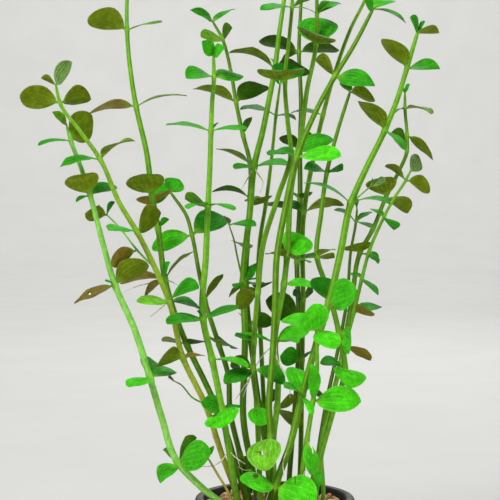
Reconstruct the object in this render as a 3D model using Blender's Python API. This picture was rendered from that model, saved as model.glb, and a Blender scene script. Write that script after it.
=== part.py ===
"""Potted Lindernia rotundifolia: a bunch of upright stems with round leaves in pairs, in a small pot.

The origin is the centre of the pot's flat foot, +Z is up, and the plant is looked at along +Y.
Each shoot is one grown body, its stem with its leaves. Where a leaf or a stem lies is read off the
photograph as pixels (u, v) of its 500 x 500 frame, and the third dimension is given in millimetres
behind the plane of the pot's axis. Every size is a real one.
"""

import itertools
import math
from collections import namedtuple

import bmesh
import bpy
import numpy as np
from mathutils import Matrix, Vector
from mathutils.bvhtree import BVHTree

MM = 0.001

# The line of sight: 500 pixels are 166.7 mm across at the pot's axis, seen from 500 mm away
EYE = np.array([-8.33, -500.0, 150.0]) * MM
TILT_DOWN = math.radians(2.75)
CENTRE_PIXEL = 250
FOCAL_PIXELS = 1500

# Stems are square in section, as in the whole family, and a little thicker where leaves join
STEM_SIDE = 1.8 * MM
NODE_SIDE = 2.1 * MM
NODE_HEIGHT = 1.3 * MM
STEMS_APART = 2.95 * MM
LEAF_THICK = 0.45 * MM
LEAF_START = 1.7 * MM
LEAF_ARCH = 0.1
GAP = 0.3 * MM
# A leaf's outline: how far along the blade, and how wide there as a share of its full width
LEAF_OUTLINE = ((0.0, 0.32), (0.3, 0.95), (0.7, 0.9), (1.0, 0.28))
SMALL_LEAF_OUTLINE = ((0.0, 0.34), (0.45, 1.0), (1.0, 0.34))
SMALL_LEAF = 14 * MM
BUD_OUTLINE = ((0.0, 0.6), (1.0, 0.45))
BUD = 8 * MM

# The pot: a plain tapered cup with a band round its mouth
POT_HEIGHT = 43 * MM
POT_FOOT_RADIUS = 19.5 * MM
POT_SHOULDER_RADIUS = 24.3 * MM
POT_RIM_RADIUS = 27 * MM
POT_RIM_HEIGHT = 6 * MM
POT_WALL = 1.4 * MM
POT_FLOOR = 2 * MM
POT_SIDES = 24
HOLE_RADIUS = 1.7 * MM
HOLE_CIRCLE = 11 * MM
HOLES = 4

# The gravel stands 3 mm under the rim, and the cut stems are pushed 20 mm into it
GRAVEL_TOP = 40 * MM
GRAVEL_LUMP = 0.7 * MM
GRAVEL_RINGS = (5 * MM, 10 * MM, 15 * MM, 19 * MM)
GRAVEL_SIDES = 16
STEM_DEPTH = 20 * MM
SOCKET_ABOVE = 3 * MM
LEAN_IN_SHARE = 0.8

Shoot = namedtuple("Shoot", "name points back foot leaves")
Leaf = namedtuple("Leaf", "at tip length shows side broad")


def leaf(at, u, v, length, shows, side=1, broad=0.74):
    """A leaf at the shoot's point number `at`, whose tip is at pixel (u, v).

    length is in millimetres. shows says how far the upper face is turned to the viewer: 1 is all of
    it, 0 is edge on, and below 0 the underside shows. side is 1 for a tip nearer the viewer than the
    stem, and -1 for one further away. broad is the width as a share of the length.
    """
    return Leaf(at, (u, v), length, shows, side, broad)


# back is how far behind the pot's axis the top is, in millimetres. foot is where the stem goes into
# the gravel, (x, y) in millimetres, or the shoot that a side shoot grows from and its point's number.
SHOOTS = (
    Shoot("shoot_01", ((56, 86), (60, 103), (80, 131), (100, 159), (120, 204), (137, 232), (155, 268),
                       (169, 301), (183, 358), (205, 404), (222, 455)), -13, (-11.7, -1), (
        leaf(0, 72, 62, 10, 0.7), leaf(0, 41, 78, 6, -0.4, -1),
        leaf(1, 20, 95, 14, -0.75), leaf(1, 91, 99, 11.5, -0.7, -1),
        leaf(3, 135, 141, 14, -0.14), leaf(3, 60, 167, 14, 0.2),
        leaf(5, 108, 230, 13, 0.17), leaf(5, 161, 213, 12.5, -0.6, -1, 0.85),
        leaf(7, 137, 302, 12, 0.45), leaf(7, 199, 288, 13, 0.45), leaf(7, 200, 309, 11, 0.35, -1),
        leaf(8, 158, 364, 12, -0.55, 1, 0.9), leaf(8, 205, 356, 8, -0.3),
        leaf(9, 219, 397, 7, 0.5, -1))),
    Shoot("side_shoot_01", ((107, 215), (119, 227), (133, 245), (137, 250)), 2, ("shoot_01", 6), (
        leaf(0, 85, 214, 8.5, -0.75, 1, 0.85), leaf(0, 99, 205, 6, -0.3, -1), leaf(0, 115, 202, 6, 0.4),
        leaf(3, 111, 264, 11, -0.6))),
    Shoot("side_shoot_02", ((174, 381), (180, 384), (193, 398)), -2, ("shoot_01", 9), (
        leaf(0, 170, 375, 3.5, -0.4),)),
    Shoot("shoot_02", ((67, 126), (71, 141), (80, 165), (90, 195), (102, 240), (115, 285), (134, 328),
                       (150, 378), (161, 415), (178, 463), (200, 486)), -5, (-15.5, -9), (
        leaf(0, 52, 112, 7.5, 0.6, 1, 0.6),
        leaf(1, 92, 115, 13.5, -0.85, -1, 0.9), leaf(1, 38, 145, 12.5, 0.12),
        leaf(3, 77, 171, 14.5, -0.97, 1, 0.93), leaf(3, 116, 186, 11, 0.4, -1), leaf(3, 76, 202, 5.5, 0.3),
        leaf(5, 74, 303, 15, -0.25), leaf(5, 105, 281, 4, 0.3), leaf(5, 153, 259, 15.5, -0.7, -1),
        leaf(7, 162, 366, 12.8, 0.9, -1, 1.05), leaf(7, 129, 387, 12, 0.45),
        leaf(9, 160, 483, 11, 0.75, 1, 0.7), leaf(9, 163, 450, 8, -0.4, -1),
        leaf(9, 211, 454, 14.5, 0.9), leaf(9, 200, 433, 12.5, -0.35, -1))),
    Shoot("shoot_03", ((130, -32), (127, 0), (127, 30), (131, 75), (136, 106), (147, 155), (152, 195),
                       (158, 228), (165, 279), (187, 345), (204, 380), (220, 415), (236, 465)),
          6, (-9.3, 2.3), (
        leaf(0, 117, -45, 7.5, 0.5), leaf(0, 143, -43, 7.5, 0.4, -1),
        leaf(2, 88, 18, 15, -0.65), leaf(2, 162, 22, 13, -0.06, 1, 0.6),
        leaf(4, 88, 115, 16.5, -0.35), leaf(4, 187, 96, 17.5, 0.12, 1, 0.6),
        leaf(6, 143, 174, 13, -0.97, 1, 1.0), leaf(6, 156, 204, 13, -0.97, -1, 0.95),
        leaf(7, 169, 219, 5, 0.5),
        leaf(8, 120, 284, 15.5, -0.2), leaf(8, 145, 297, 10, -0.35), leaf(8, 195, 251, 13.5, -0.15, 1, 0.5),
        leaf(8, 170, 262, 6.5, 0.3, -1),
        leaf(9, 162, 341, 10, 0.2), leaf(9, 204, 342, 11, -0.4, 1, 0.6))),
    Shoot("shoot_04", ((213.5, 56), (214, 77), (212, 105), (211, 131), (210, 165), (208, 206), (206, 255),
                       (203, 318), (212, 359), (222, 409), (229, 450)), -9, (-12.3, -5), (
        leaf(0, 202, 41, 7.5, 0.85, 1, 0.7), leaf(0, 225, 48, 6, 0.8, 1, 0.85),
        leaf(1, 186, 78, 12, 0.35), leaf(1, 243, 76, 12, 0.55, -1),
        leaf(3, 166, 125, 15, 0.22, 1, 0.65), leaf(3, 247, 129, 12.5, 0.18, 1, 0.65),
        leaf(3, 221, 119, 4, 0.4),
        leaf(5, 188, 209, 11, 0.15), leaf(5, 234, 210, 12, 0.15), leaf(5, 185, 199, 11, -0.4, -1),
        leaf(7, 167, 324, 14, 0.45), leaf(7, 239, 308, 13, 0.35), leaf(7, 196, 310, 3.5, 0.4),
        leaf(8, 248, 368, 13, 0.2),
        leaf(9, 224, 427, 12.5, 0.95, 1, 1.0), leaf(9, 243, 406, 8.5, 0.4),
        leaf(9, 201, 403, 8, 0.75, 1, 0.9))),
    Shoot("shoot_05", ((213, 22), (222, 38), (231, 72), (236, 102), (243, 135), (250, 163), (250, 197),
                       (247, 250), (246, 285), (249, 325)), 20, (-1.5, 9.5), (
        leaf(0, 190, 10, 11, 0.6, 1, 0.42), leaf(0, 235, 9, 11, 0.4, -1, 0.42), leaf(0, 208, 13, 4, 0.4),
        leaf(1, 201, 37, 10, 0.5), leaf(1, 232, 28, 9, -0.7, -1),
        leaf(3, 193, 89, 15.5, -0.35), leaf(3, 267, 86, 14, -0.7), leaf(4, 252, 117, 6.5, -0.5),
        leaf(5, 216, 149, 13, -0.25), leaf(6, 212, 192, 13, -0.08),
        leaf(7, 238, 243, 11, 0.3, -1), leaf(8, 229, 297, 8, -0.4, 1, 0.45),
        leaf(8, 257, 299, 11, -0.3, -1), leaf(9, 274, 320, 9, -0.8, 1, 0.8), leaf(9, 243, 318, 11, 0.3, -1))),
    Shoot("shoot_06", ((288, -34), (284, 0), (279, 35), (275, 68), (269, 100), (263, 130), (254, 167),
                       (250, 210), (243, 282), (245, 335), (244, 375), (243, 411)), 5, (-5.8, 9), (
        leaf(0, 276, -45, 7.5, 0.5), leaf(0, 300, -44, 7.5, 0.4, -1),
        leaf(3, 229, 53, 16.5, -0.14), leaf(3, 309, 71, 13.5, -0.65), leaf(3, 270, 57, 4, 0.4),
        leaf(6, 237, 154, 7.5, 0.3), leaf(6, 235, 169, 9.5, 0.4), leaf(6, 289, 165, 13, 0.3),
        leaf(8, 257, 263, 9, 0.6, -1), leaf(8, 236, 289, 5.5, 0.4), leaf(8, 259, 279, 7, 0.15),
        leaf(10, 231, 367, 10, -0.5, -1))),
    Shoot("shoot_07", ((171, 193), (187, 217), (192, 235), (199, 272), (205, 300), (219, 345), (228, 374),
                       (230, 410), (240, 455)), 13, (-8.5, 6), (
        leaf(0, 151, 194, 9, 0.85, 1, 0.95), leaf(0, 179, 179, 7.5, 0.85, -1, 1.1),
        leaf(2, 152, 249, 15, 0.6), leaf(2, 227, 218, 15, 0.78, -1),
        leaf(4, 223, 274, 11, -0.5, 1, 0.4), leaf(5, 211, 338, 11, -0.4, -1), leaf(5, 231, 348, 11, 0.3, -1),
        leaf(8, 250, 476, 10, -0.5))),
    Shoot("side_shoot_03", ((229, 225), (234, 240), (236.5, 253)), 3, ("shoot_06", 8), (
        leaf(0, 224, 216, 4.5, -0.5), leaf(0, 256, 226, 10, 0.2))),
    Shoot("shoot_08", ((293, -22), (292, 7), (289, 40), (285, 82), (288, 125), (291, 153), (278, 197),
                       (263, 245), (258, 292), (254, 342), (253, 369), (257, 405), (258, 430)),
          -6, (-4.8, -1), (
        leaf(0, 283, -34, 7, 0.5), leaf(0, 304, -34, 7, 0.4, -1),
        leaf(1, 261, 10, 13, 0.25, 1, 0.6), leaf(1, 310, 0, 9, -0.5, -1), leaf(1, 317, 14, 9, 0.15),
        leaf(3, 280, 71, 14.5, -0.97, 1, 1.08), leaf(3, 294, 66, 12.5, 0.85, -1, 0.95),
        leaf(5, 333, 139, 14.5, 0.6, 1, 0.6), leaf(5, 268, 155, 10, 0.3), leaf(8, 236, 307, 11.5, -0.75),
        leaf(9, 235, 336, 9, 0.3),
        leaf(10, 225, 384, 12, 0.62), leaf(10, 285, 383, 12, 0.55, 1, 0.7), leaf(10, 233, 358, 8, -0.6, -1),
        leaf(11, 262, 430, 11.5, 0.9, 1, 0.9))),
    Shoot("shoot_09", ((303, -26), (301, 5), (299, 52), (301, 100), (300, 150), (300, 200), (297, 262),
                       (299, 320)), 36, (5, 17), (
        leaf(0, 292, -36, 7, 0.5), leaf(0, 314, -37, 7, 0.4, -1),
        leaf(2, 259, 41, 15, -0.4), leaf(2, 339, 50, 15, -0.4), leaf(2, 279, 64, 9, -0.4),
        leaf(4, 280, 137, 10, -0.5), leaf(4, 313, 135, 9, -0.5, -1),
        leaf(5, 311, 192, 11, -0.4, -1), leaf(5, 290, 193, 11, 0.3, -1),
        leaf(6, 278, 250, 12, -0.4, -1), leaf(6, 318, 252, 12, 0.3, -1),
        leaf(7, 266, 300, 14.5, -0.8, -1, 0.8))),
    Shoot("shoot_10", ((316, -22), (317, 14), (316, 45), (307, 90), (301, 135), (291, 190), (287, 257),
                       (284, 284), (275, 343), (278, 378), (277, 408), (274, 432)), 11, (0, 2), (
        leaf(0, 306, -33, 7, 0.5), leaf(0, 328, -32, 7, 0.4, -1),
        leaf(1, 341, 4, 10, 0.5, -1), leaf(1, 329, 1, 7, -0.2),
        leaf(2, 317, 35, 13, -0.97, 1, 1.05), leaf(2, 320, 18, 13, 0.97, -1, 1.08),
        leaf(6, 306, 237, 12, 0.95, -1, 0.95), leaf(6, 268, 254, 11, -0.25), leaf(6, 308, 262, 11, -0.25),
        leaf(8, 309, 343, 13, 0.3, 1, 0.6), leaf(8, 309, 330, 13, 0.75, -1, 0.6),
        leaf(8, 237, 334, 14, 0.25, 1, 0.45), leaf(7, 317, 288, 11.5, 0.62, 1, 0.5),
        leaf(10, 297, 428, 12, -0.5, -1), leaf(10, 296, 400, 9, -0.5, -1))),
    Shoot("shoot_11", ((373, 9), (353, 47), (335, 76), (315, 113), (297, 157), (285, 210), (277, 255),
                       (275, 310), (272, 365), (269, 405), (271, 436)), -18, (-2.4, -6), (
        leaf(0, 364, -4, 9, 0.6), leaf(0, 391, 0, 10, 0.5, -1), leaf(0, 406, 23, 12, 0.12, 1, 0.6),
        leaf(2, 316, 61, 11, -0.5, -1), leaf(2, 375, 86, 14, 0.62), leaf(2, 352, 90, 8, 0.5),
        leaf(4, 341, 156, 15.5, 0.45, 1, 0.6), leaf(4, 277, 150, 9, 0.3, -1),
        leaf(10, 265, 471, 13.5, 0.92, 1, 0.92))),
    Shoot("shoot_12", ((371, -20), (366, -3), (351, 28), (337, 66), (323, 115), (312, 165), (304, 212),
                       (303, 300), (302, 360)), 26, (8.5, 12.5), (
        leaf(0, 361, -31, 7, 0.5), leaf(0, 383, -29, 7, 0.4, -1),
        leaf(4, 291, 113, 11, 0.3, -1),
        leaf(6, 344, 205, 14, -0.25, -1), leaf(6, 284, 203, 12, 0.3, -1),
        leaf(7, 313, 292, 11, -0.4, -1), leaf(7, 293, 295, 11, 0.3, -1),
        leaf(8, 311, 351, 12, 0.3, -1), leaf(8, 280, 356, 8.5, 0.9, -1, 0.95))),
    Shoot("shoot_13", ((350, 92), (338, 130), (327, 172), (321, 215), (317, 257), (328, 290), (339, 333),
                       (345, 368), (332, 415), (319, 465)), -11, (13.5, 1.5), (
        leaf(0, 340, 81, 5.5, -0.6), leaf(0, 375, 101, 10, -0.5),
        leaf(2, 304, 169, 9, 0.35), leaf(2, 343, 170, 8, 0.35),
        leaf(4, 335, 250, 9, -0.3), leaf(4, 334, 258, 8, -0.3, -1), leaf(4, 300, 261, 9, -0.2),
        leaf(7, 350, 388, 12, 0.85, 1, 0.95), leaf(6, 351, 345, 12, 0.7, -1, 0.9),
        leaf(7, 320, 363, 11, 0.3),
        leaf(9, 316, 488, 9, 0.6))),
    Shoot("shoot_14", ((418, 31), (407, 68), (397, 100), (385, 130), (365, 171), (351, 203), (341, 250),
                       (329, 302), (316, 345), (302, 396), (290, 445), (276, 487)), -24, (-0.5, -9.5), (
        leaf(0, 410, 17, 8, 0.5), leaf(0, 439, 33, 10, -0.5, -1, 0.6), leaf(0, 425, 21, 4, 0.4),
        leaf(1, 382, 39, 14.5, -0.65, 1, 0.6), leaf(1, 440, 69, 12, 0.4),
        leaf(3, 358, 101, 14.5, -0.6, 1, 0.62), leaf(3, 405, 150, 12, 0.35, 1, 0.5),
        leaf(5, 304, 183, 17, 0.2, 1, 0.5), leaf(5, 390, 204, 14.5, 0.2),
        leaf(7, 357, 291, 14, 0.95, 1, 0.76), leaf(7, 314, 278, 10, 0.7, -1, 0.9),
        leaf(7, 348, 312, 10, 0.25),
        leaf(9, 284, 387, 10, 0.3), leaf(9, 315, 424, 12, 0.6, 1, 0.55),
        leaf(9, 293, 367, 12.5, 0.85, -1, 0.85),
        leaf(11, 317, 499, 15.5, 0.92, 1, 0.85), leaf(11, 240, 480, 13.5, 0.7, 1, 0.72))),
    Shoot("side_shoot_04", ((371, 186), (364, 192)), -14, ("shoot_14", 5), (
        leaf(0, 386, 182, 7, 0.4), leaf(0, 372, 179, 4, 0.4, -1))),
    Shoot("shoot_15", ((410, 172), (406, 180), (393, 200), (384, 217), (369, 252), (362, 278), (354, 312),
                       (345, 345), (332, 400), (322, 440)), 3, (16.5, 5), (
        leaf(0, 418, 155, 7.5, 0.85, -1, 0.85),
        leaf(1, 385, 166, 10, -0.4, -1), leaf(1, 430, 191, 10, -0.6),
        leaf(3, 370, 209, 8, 0.3, -1), leaf(3, 394, 230, 9, 0.5),
        leaf(4, 378, 264, 5.5, 0.3),
        leaf(5, 378, 295, 11, 0.4, 1, 0.5), leaf(5, 350, 273, 8, 0.3, -1),
        leaf(6, 382, 307, 11, 0.5, -1, 0.6), leaf(6, 372, 312, 9.5, -0.65, 1, 0.75),
        leaf(7, 371, 360, 11, -0.45, -1, 0.55))),
    Shoot("shoot_16", ((405, 94), (405, 108), (407, 135), (407, 151), (398, 173), (386, 197), (373, 229),
                       (360, 253), (352, 300), (343, 350)), 12, (12, 8.5), (
        leaf(0, 410, 84, 4.5, 0.4), leaf(0, 400, 85, 4, 0.4, -1),
        leaf(1, 395, 113, 7, 0.2), leaf(1, 432, 114, 12, 0.08),
        leaf(2, 433, 160, 12.5, -0.6, 1, 0.5), leaf(3, 391, 133, 11, -0.5, -1),
        leaf(5, 380, 178, 12.5, -0.97, 1, 0.85), leaf(5, 408, 213, 12, -0.5, -1),
        leaf(6, 358, 222, 9, 0.3, -1),
        leaf(7, 355, 244, 11.5, -0.9, 1, 0.95), leaf(7, 378, 262, 9, 0.3),
        leaf(8, 343, 295, 10, -0.3, -1), leaf(9, 334, 344, 10, 0.3, -1))),
    Shoot("shoot_17", ((357, 209), (356, 222), (351, 250), (347, 300), (341, 335), (327, 400)), 23, (13, 13), (
        leaf(0, 359, 199, 4, 0.4), leaf(1, 334, 210, 9, 0.2), leaf(1, 372, 212, 7, 0.3, -1),
        leaf(3, 338, 294, 10, 0.3, -1), leaf(3, 357, 297, 10, -0.3, -1),
        leaf(5, 317, 396, 11, -0.4, -1))),
    Shoot("shoot_18", ((280, 85), (276, 115), (273, 145), (266, 203), (260, 240), (258, 290), (261, 345),
                       (264, 405)), 24, (-1, 14), (
        leaf(0, 271, 75, 5, 0.4), leaf(0, 290, 76, 5, 0.4, -1),
        leaf(1, 240, 109, 13.5, 0.2), leaf(1, 296, 120, 8, 0.3),
        leaf(3, 259, 198, 12, -0.85, 1, 0.75), leaf(3, 245, 200, 9, 0.3, -1), leaf(3, 285, 208, 10, -0.4, -1),
        leaf(5, 268, 283, 11, -0.4, -1), leaf(5, 249, 284, 11, 0.3, -1),
        leaf(7, 275, 399, 11, -0.4, -1))),
    Shoot("shoot_19", ((316, 331), (317, 350), (317, 372), (313, 401), (307, 440), (302, 475)),
          -22, (8, -6), (
        leaf(0, 313, 304, 11, 0.95, 1, 0.95), leaf(0, 335, 349, 11, 0.8, 1, 0.85),
        leaf(0, 282, 320, 13, 0.5, -1),
        leaf(3, 312, 364, 13, 0.85, 1, 0.36), leaf(3, 361, 402, 17, 0.78, 1, 0.62),
        leaf(4, 311, 475, 12.5, 0.7, 1, 0.6))),
    Shoot("shoot_20", ((208, 458), (218, 475), (229, 494)), -14, (-13.5, -13.5), (
        leaf(0, 199, 449, 4.5, 0.5), leaf(0, 214, 446, 4.5, 0.5, -1))),
)


def unit(vector):
    return vector / np.linalg.norm(vector)


def on_photo(u, v, back):
    """The point at pixel (u, v) that lies `back` metres behind the plane of the pot's axis."""
    ray = np.array([0.0, math.cos(TILT_DOWN), -math.sin(TILT_DOWN)])
    ray += np.array([1.0, 0.0, 0.0]) * (u - CENTRE_PIXEL) / FOCAL_PIXELS
    ray += np.array([0.0, math.sin(TILT_DOWN), math.cos(TILT_DOWN)]) * (CENTRE_PIXEL - v) / FOCAL_PIXELS
    return EYE + ray * (back - EYE[1]) / ray[1]


def foot_of(shoot, depths):
    """How far back the shoot's lowest point is: its foot in the gravel, or the stem that it grows from."""
    if isinstance(shoot.foot[0], str):
        return depths[shoot.foot[0]][shoot.foot[1]]
    return shoot.foot[1] * MM


def first_depths():
    """How far back each point of each stem is, before the stems find room: straight from top to foot."""
    depths = {}
    for shoot in SHOOTS:
        share = np.linspace(0.0, 1.0, len(shoot.points) + (not isinstance(shoot.foot[0], str)))
        end = foot_of(shoot, depths)
        depths[shoot.name] = (shoot.back * MM * (1 - share) + end * share)[: len(shoot.points)]
    return depths


def stem_line(shoot, depths):
    """The stem's points in space, from its top down to its foot."""
    line = [on_photo(u, v, back) for (u, v), back in zip(shoot.points, depths[shoot.name])]
    if not isinstance(shoot.foot[0], str):
        line.append(np.array([shoot.foot[0] * MM, shoot.foot[1] * MM, GRAVEL_TOP]))
    return np.array(line)


def samples_of(line, step=1.5 * MM):
    """Points close together along a line, and the number of the line's point that each is nearest to."""
    points, nearest = [], []
    for i, (a, b) in enumerate(zip(line, line[1:])):
        for share in np.arange(0.0, 1.0, step / max(np.linalg.norm(b - a), step)):
            points.append(a + (b - a) * share)
            nearest.append(i + (share > 0.5))
    return np.array(points), np.array(nearest)


def push(depths, shoot, at, by):
    """Moves one point of a stem along the line of sight, and its neighbours half as far."""
    line = depths[shoot.name]
    for i, share in ((at - 1, 0.5), (at, 1.0), (at + 1, 0.5)):
        if 0 <= i < len(line):
            line[i] += by * share


def clear_stems(rounds=150):
    """The depths of every stem's points once no two stems come nearer than STEMS_APART."""
    depths = first_depths()
    for _ in range(rounds):
        lines = [samples_of(stem_line(shoot, depths)) for shoot in SHOOTS]
        crowded = False
        for (i, a), (j, b) in itertools.combinations(enumerate(SHOOTS), 2):
            if b.foot[0] == a.name or a.foot[0] == b.name:
                continue
            apart = np.linalg.norm(lines[i][0][:, None] - lines[j][0][None], axis=2)
            p, q = np.unravel_index(apart.argmin(), apart.shape)
            if apart[p, q] >= STEMS_APART:
                continue
            crowded = True
            by = (STEMS_APART - apart[p, q]) * 0.5 + 0.1 * MM
            ahead = 1 if lines[i][0][p, 1] > lines[j][0][q, 1] else -1
            push(depths, a, lines[i][1][p], by * ahead)
            push(depths, b, lines[j][1][q], -by * ahead)
        if not crowded:
            break
    return depths


def direction_at(line, i):
    """The stem's direction at its point i, from its foot towards its top."""
    return unit(line[max(i - 1, 0)] - line[min(i + 1, len(line) - 1)])


Blade = namedtuple("Blade", "root tip along normal width")


def blade_of(spec, line, back, reach_more=0.0, shrink=1.0):
    """Where a leaf lies: from its stem to its tip, with the way that its upper face looks."""
    root = line[spec.at]
    flat = np.linalg.norm(on_photo(*spec.tip, back) - root)
    length = spec.length * MM
    reach = spec.side * math.sqrt(max(length**2 - flat**2, 0.0)) + reach_more
    tip = on_photo(*spec.tip, back - reach)
    tip = root + (tip - root) * shrink
    along = unit(tip - root)
    toward = unit(EYE - root)
    toward = unit(toward - along * toward.dot(along))
    upward = np.cross(along, toward)
    if upward.dot(direction_at(line, spec.at)) < 0:
        upward = -upward
    normal = spec.shows * toward + math.sqrt(1 - spec.shows**2) * upward
    return Blade(root, tip, along, normal, spec.broad * length * shrink)


def outline_for(length):
    """The plainer outlines are for the smaller leaves, which need fewer faces."""
    if length < BUD:
        return BUD_OUTLINE
    return SMALL_LEAF_OUTLINE if length < SMALL_LEAF else LEAF_OUTLINE


def sections_of(blade, thick, more=0.0):
    """The four corners of each cross-section of a leaf, from its stem to its tip."""
    length = np.linalg.norm(blade.tip - blade.root)
    right = np.cross(blade.normal, blade.along)
    sections = []
    for share, wide in outline_for(length):
        reach = LEAF_START + (length - LEAF_START + more) * share
        rise = 4 * LEAF_ARCH * length * share * (1 - share)
        middle = blade.root + blade.along * reach + blade.normal * rise
        half = right * (blade.width * wide / 2 + more)
        up = blade.normal * (thick / 2 + more)
        sections.append([middle - half - up, middle + half - up, middle + half + up, middle - half + up])
    return sections


def tree_of(sections):
    """A search tree of the closed tube through a list of four-cornered sections."""
    points = [Vector(corner) for section in sections for corner in section]
    faces = [(0, 3, 2, 1), tuple(len(points) - 4 + i for i in range(4))]
    for start in range(0, len(points) - 4, 4):
        for i in range(4):
            j = (i + 1) % 4
            faces.append((start + i, start + j, start + 4 + j, start + 4 + i))
    return BVHTree.FromPolygons(points, faces), np.array(points)


def square(middle, along, side, toward):
    """The corners of a square across `along`, one of whose sides faces `toward`."""
    out = unit(toward - along * np.dot(toward, along))
    across = np.cross(along, out)
    return [middle + (out * x + across * y) * side / 2 for x, y in ((-1, -1), (1, -1), (1, 1), (-1, 1))]


def stem_tree(line):
    """A search tree of a stem with the gap that its neighbours keep round it."""
    side = STEM_SIDE * 1.2 + 2 * GAP
    return tree_of([square(p, direction_at(line, i), side, np.array([1.0, 0.3, 0.1]))
                    for i, p in enumerate(line)])


def boxes_meet(a, b):
    return (a.min(axis=0) <= b.max(axis=0)).all() and (b.min(axis=0) <= a.max(axis=0)).all()


def in_the_pot(corners):
    """Whether a corner of a leaf is down in the gravel or in the pot's rim."""
    radius = np.linalg.norm(corners[:, :2], axis=1)
    floor = np.where(radius < inside_radius(POT_HEIGHT) - 1 * MM, GRAVEL_TOP + 2 * GRAVEL_LUMP, POT_HEIGHT)
    floor[radius > POT_RIM_RADIUS + GAP] = 0
    return (corners[:, 2] < floor).any()


def near_own_stem(blade, line):
    """Whether the outer part of a leaf comes too near the stem that carries it."""
    points, _ = samples_of(line)
    for share in (0.45, 0.7, 1.0):
        middle = blade.root + (blade.tip - blade.root) * share
        if np.linalg.norm(points - middle, axis=1).min() < 1.8 * MM:
            return True
    return False


# What a leaf tries in turn until it has room: how far its tip moves nearer, and what is left of it
TRIES = [(reach * side * MM, shrink) for shrink in (1.0, 0.85, 0.7, 0.55)
         for reach in (0, 1.5, 3, 4.5, 6, 8, 10, 12, 15) for side in (1, -1)]
LONGEST_SHARE = 1.15


def place_leaves(lines, depths):
    """Each shoot's blades: the longest leaves take their places first, the others find room round them."""
    stems = {shoot.name: stem_tree(lines[shoot.name]) for shoot in SHOOTS}
    order = sorted(((spec.length, shoot.name, number) for shoot in SHOOTS
                    for number, spec in enumerate(shoot.leaves)), reverse=True)
    shoots = {shoot.name: shoot for shoot in SHOOTS}
    placed, blades = [], {shoot.name: {} for shoot in SHOOTS}
    for _, name, number in order:
        spec = shoots[name].leaves[number]
        for reach, shrink in TRIES:
            blade = blade_of(spec, lines[name], depths[name][spec.at], reach, shrink)
            length = np.linalg.norm(blade.tip - blade.root)
            if not LEAF_START + 1 * MM < length < spec.length * MM * LONGEST_SHARE + 1 * MM:
                continue
            tree, corners = tree_of(sections_of(blade, LEAF_THICK, GAP))
            others = [stem for other, stem in stems.items() if other != name] + placed
            if near_own_stem(blade, lines[name]) or in_the_pot(corners):
                continue
            if not any(boxes_meet(corners, c) and tree.overlap(t) for t, c in others):
                placed.append(tree_of(sections_of(blade, LEAF_THICK)))
                blades[name][number] = blade
                break
    return blades


def grow_stem(mesh, line, nodes, blades):
    """Adds the rings of a stem to the mesh, and its leaves on the sides of the rings at its nodes."""
    along = direction_at(line, len(line) - 1)
    facing = unit(np.cross(along, np.array([0.0, 1.0, 0.2])))
    below = None
    for i in reversed(range(len(line))):
        along = direction_at(line, i)
        facing = unit(facing - along * facing.dot(along))
        if i not in nodes:
            below = add_ring(mesh, below, square(line[i], along, STEM_SIDE, facing))
            continue
        facing = turned_to(facing, along, blades[nodes[i][0]].along)
        low = line[i] - along * NODE_HEIGHT / 2
        high = line[i] + along * NODE_HEIGHT / 2
        below = add_ring(mesh, below, square(low, along, NODE_SIDE, facing))
        above = [mesh.verts.new(corner) for corner in square(high, along, NODE_SIDE, facing)]
        add_node(mesh, below, above, [blades[number] for number in nodes[i]])
        below = above
    mesh.faces.new(below)


def turned_to(facing, along, leaf_way):
    """The ring's facing, turned by the least angle that puts one of its four sides towards the leaf."""
    out = unit(leaf_way - along * leaf_way.dot(along))
    angle = math.atan2(np.cross(facing, out).dot(along), facing.dot(out))
    quarter = math.pi / 2
    angle -= round(angle / quarter) * quarter
    turn = Matrix.Rotation(angle, 3, Vector(along))
    return np.array(turn @ Vector(facing))


def add_ring(mesh, below, corners):
    """Adds a ring above another one and the sides between them, or closes the foot where it is the first."""
    ring = [mesh.verts.new(corner) for corner in corners]
    if below is None:
        mesh.faces.new(ring[::-1])
        return ring
    for i in range(4):
        j = (i + 1) % 4
        mesh.faces.new((below[i], below[j], ring[j], ring[i]))
    return ring


def add_node(mesh, below, above, blades):
    """The sides between a node's two rings, each closed, or drawn out into the leaf that faces that way."""
    sides = [(below[i], below[(i + 1) % 4], above[(i + 1) % 4], above[i]) for i in range(4)]
    centre = np.mean([np.array(v.co) for v in below + above], axis=0)
    ways = [unit(np.mean([np.array(v.co) for v in side], axis=0) - centre) for side in sides]
    free = set(range(4))
    for blade in blades:
        best = max(free, key=lambda i: ways[i].dot(blade.along))
        free.remove(best)
        add_blade(mesh, sides[best], blade)
    for i in free:
        mesh.faces.new(sides[i])


def add_blade(mesh, ring, blade):
    """Draws a side out into a leaf. The leaf's corners are matched to the side's with the least twist."""
    sections = sections_of(blade, LEAF_THICK)
    side = [np.array(v.co) for v in ring]
    turn = min(range(4), key=lambda k: sum(
        np.linalg.norm(side[i] - sections[0][(i + k) % 4]) for i in range(4)))
    for section in sections:
        outer = [mesh.verts.new(section[(i + turn) % 4]) for i in range(4)]
        for i in range(4):
            j = (i + 1) % 4
            mesh.faces.new((ring[i], ring[j], outer[j], outer[i]))
        ring = outer
    mesh.faces.new(ring)


def plain_material(name, colour, roughness):
    material = bpy.data.materials.new(name)
    material.use_nodes = True
    shader = material.node_tree.nodes["Principled BSDF"]
    shader.inputs["Base Color"].default_value = (*colour, 1.0)
    shader.inputs["Roughness"].default_value = roughness
    shader.inputs["Metallic"].default_value = 0.0
    return material


def finish(name, mesh, material, smooth_angle=None):
    """Turns a bmesh into an object of the scene."""
    data = bpy.data.meshes.new(name)
    mesh.to_mesh(data)
    mesh.free()
    if smooth_angle:
        data.shade_smooth()
        data.set_sharp_from_angle(angle=smooth_angle)
    data.materials.append(material)
    made = bpy.data.objects.new(name, data)
    bpy.context.scene.collection.objects.link(made)
    return made


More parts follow.
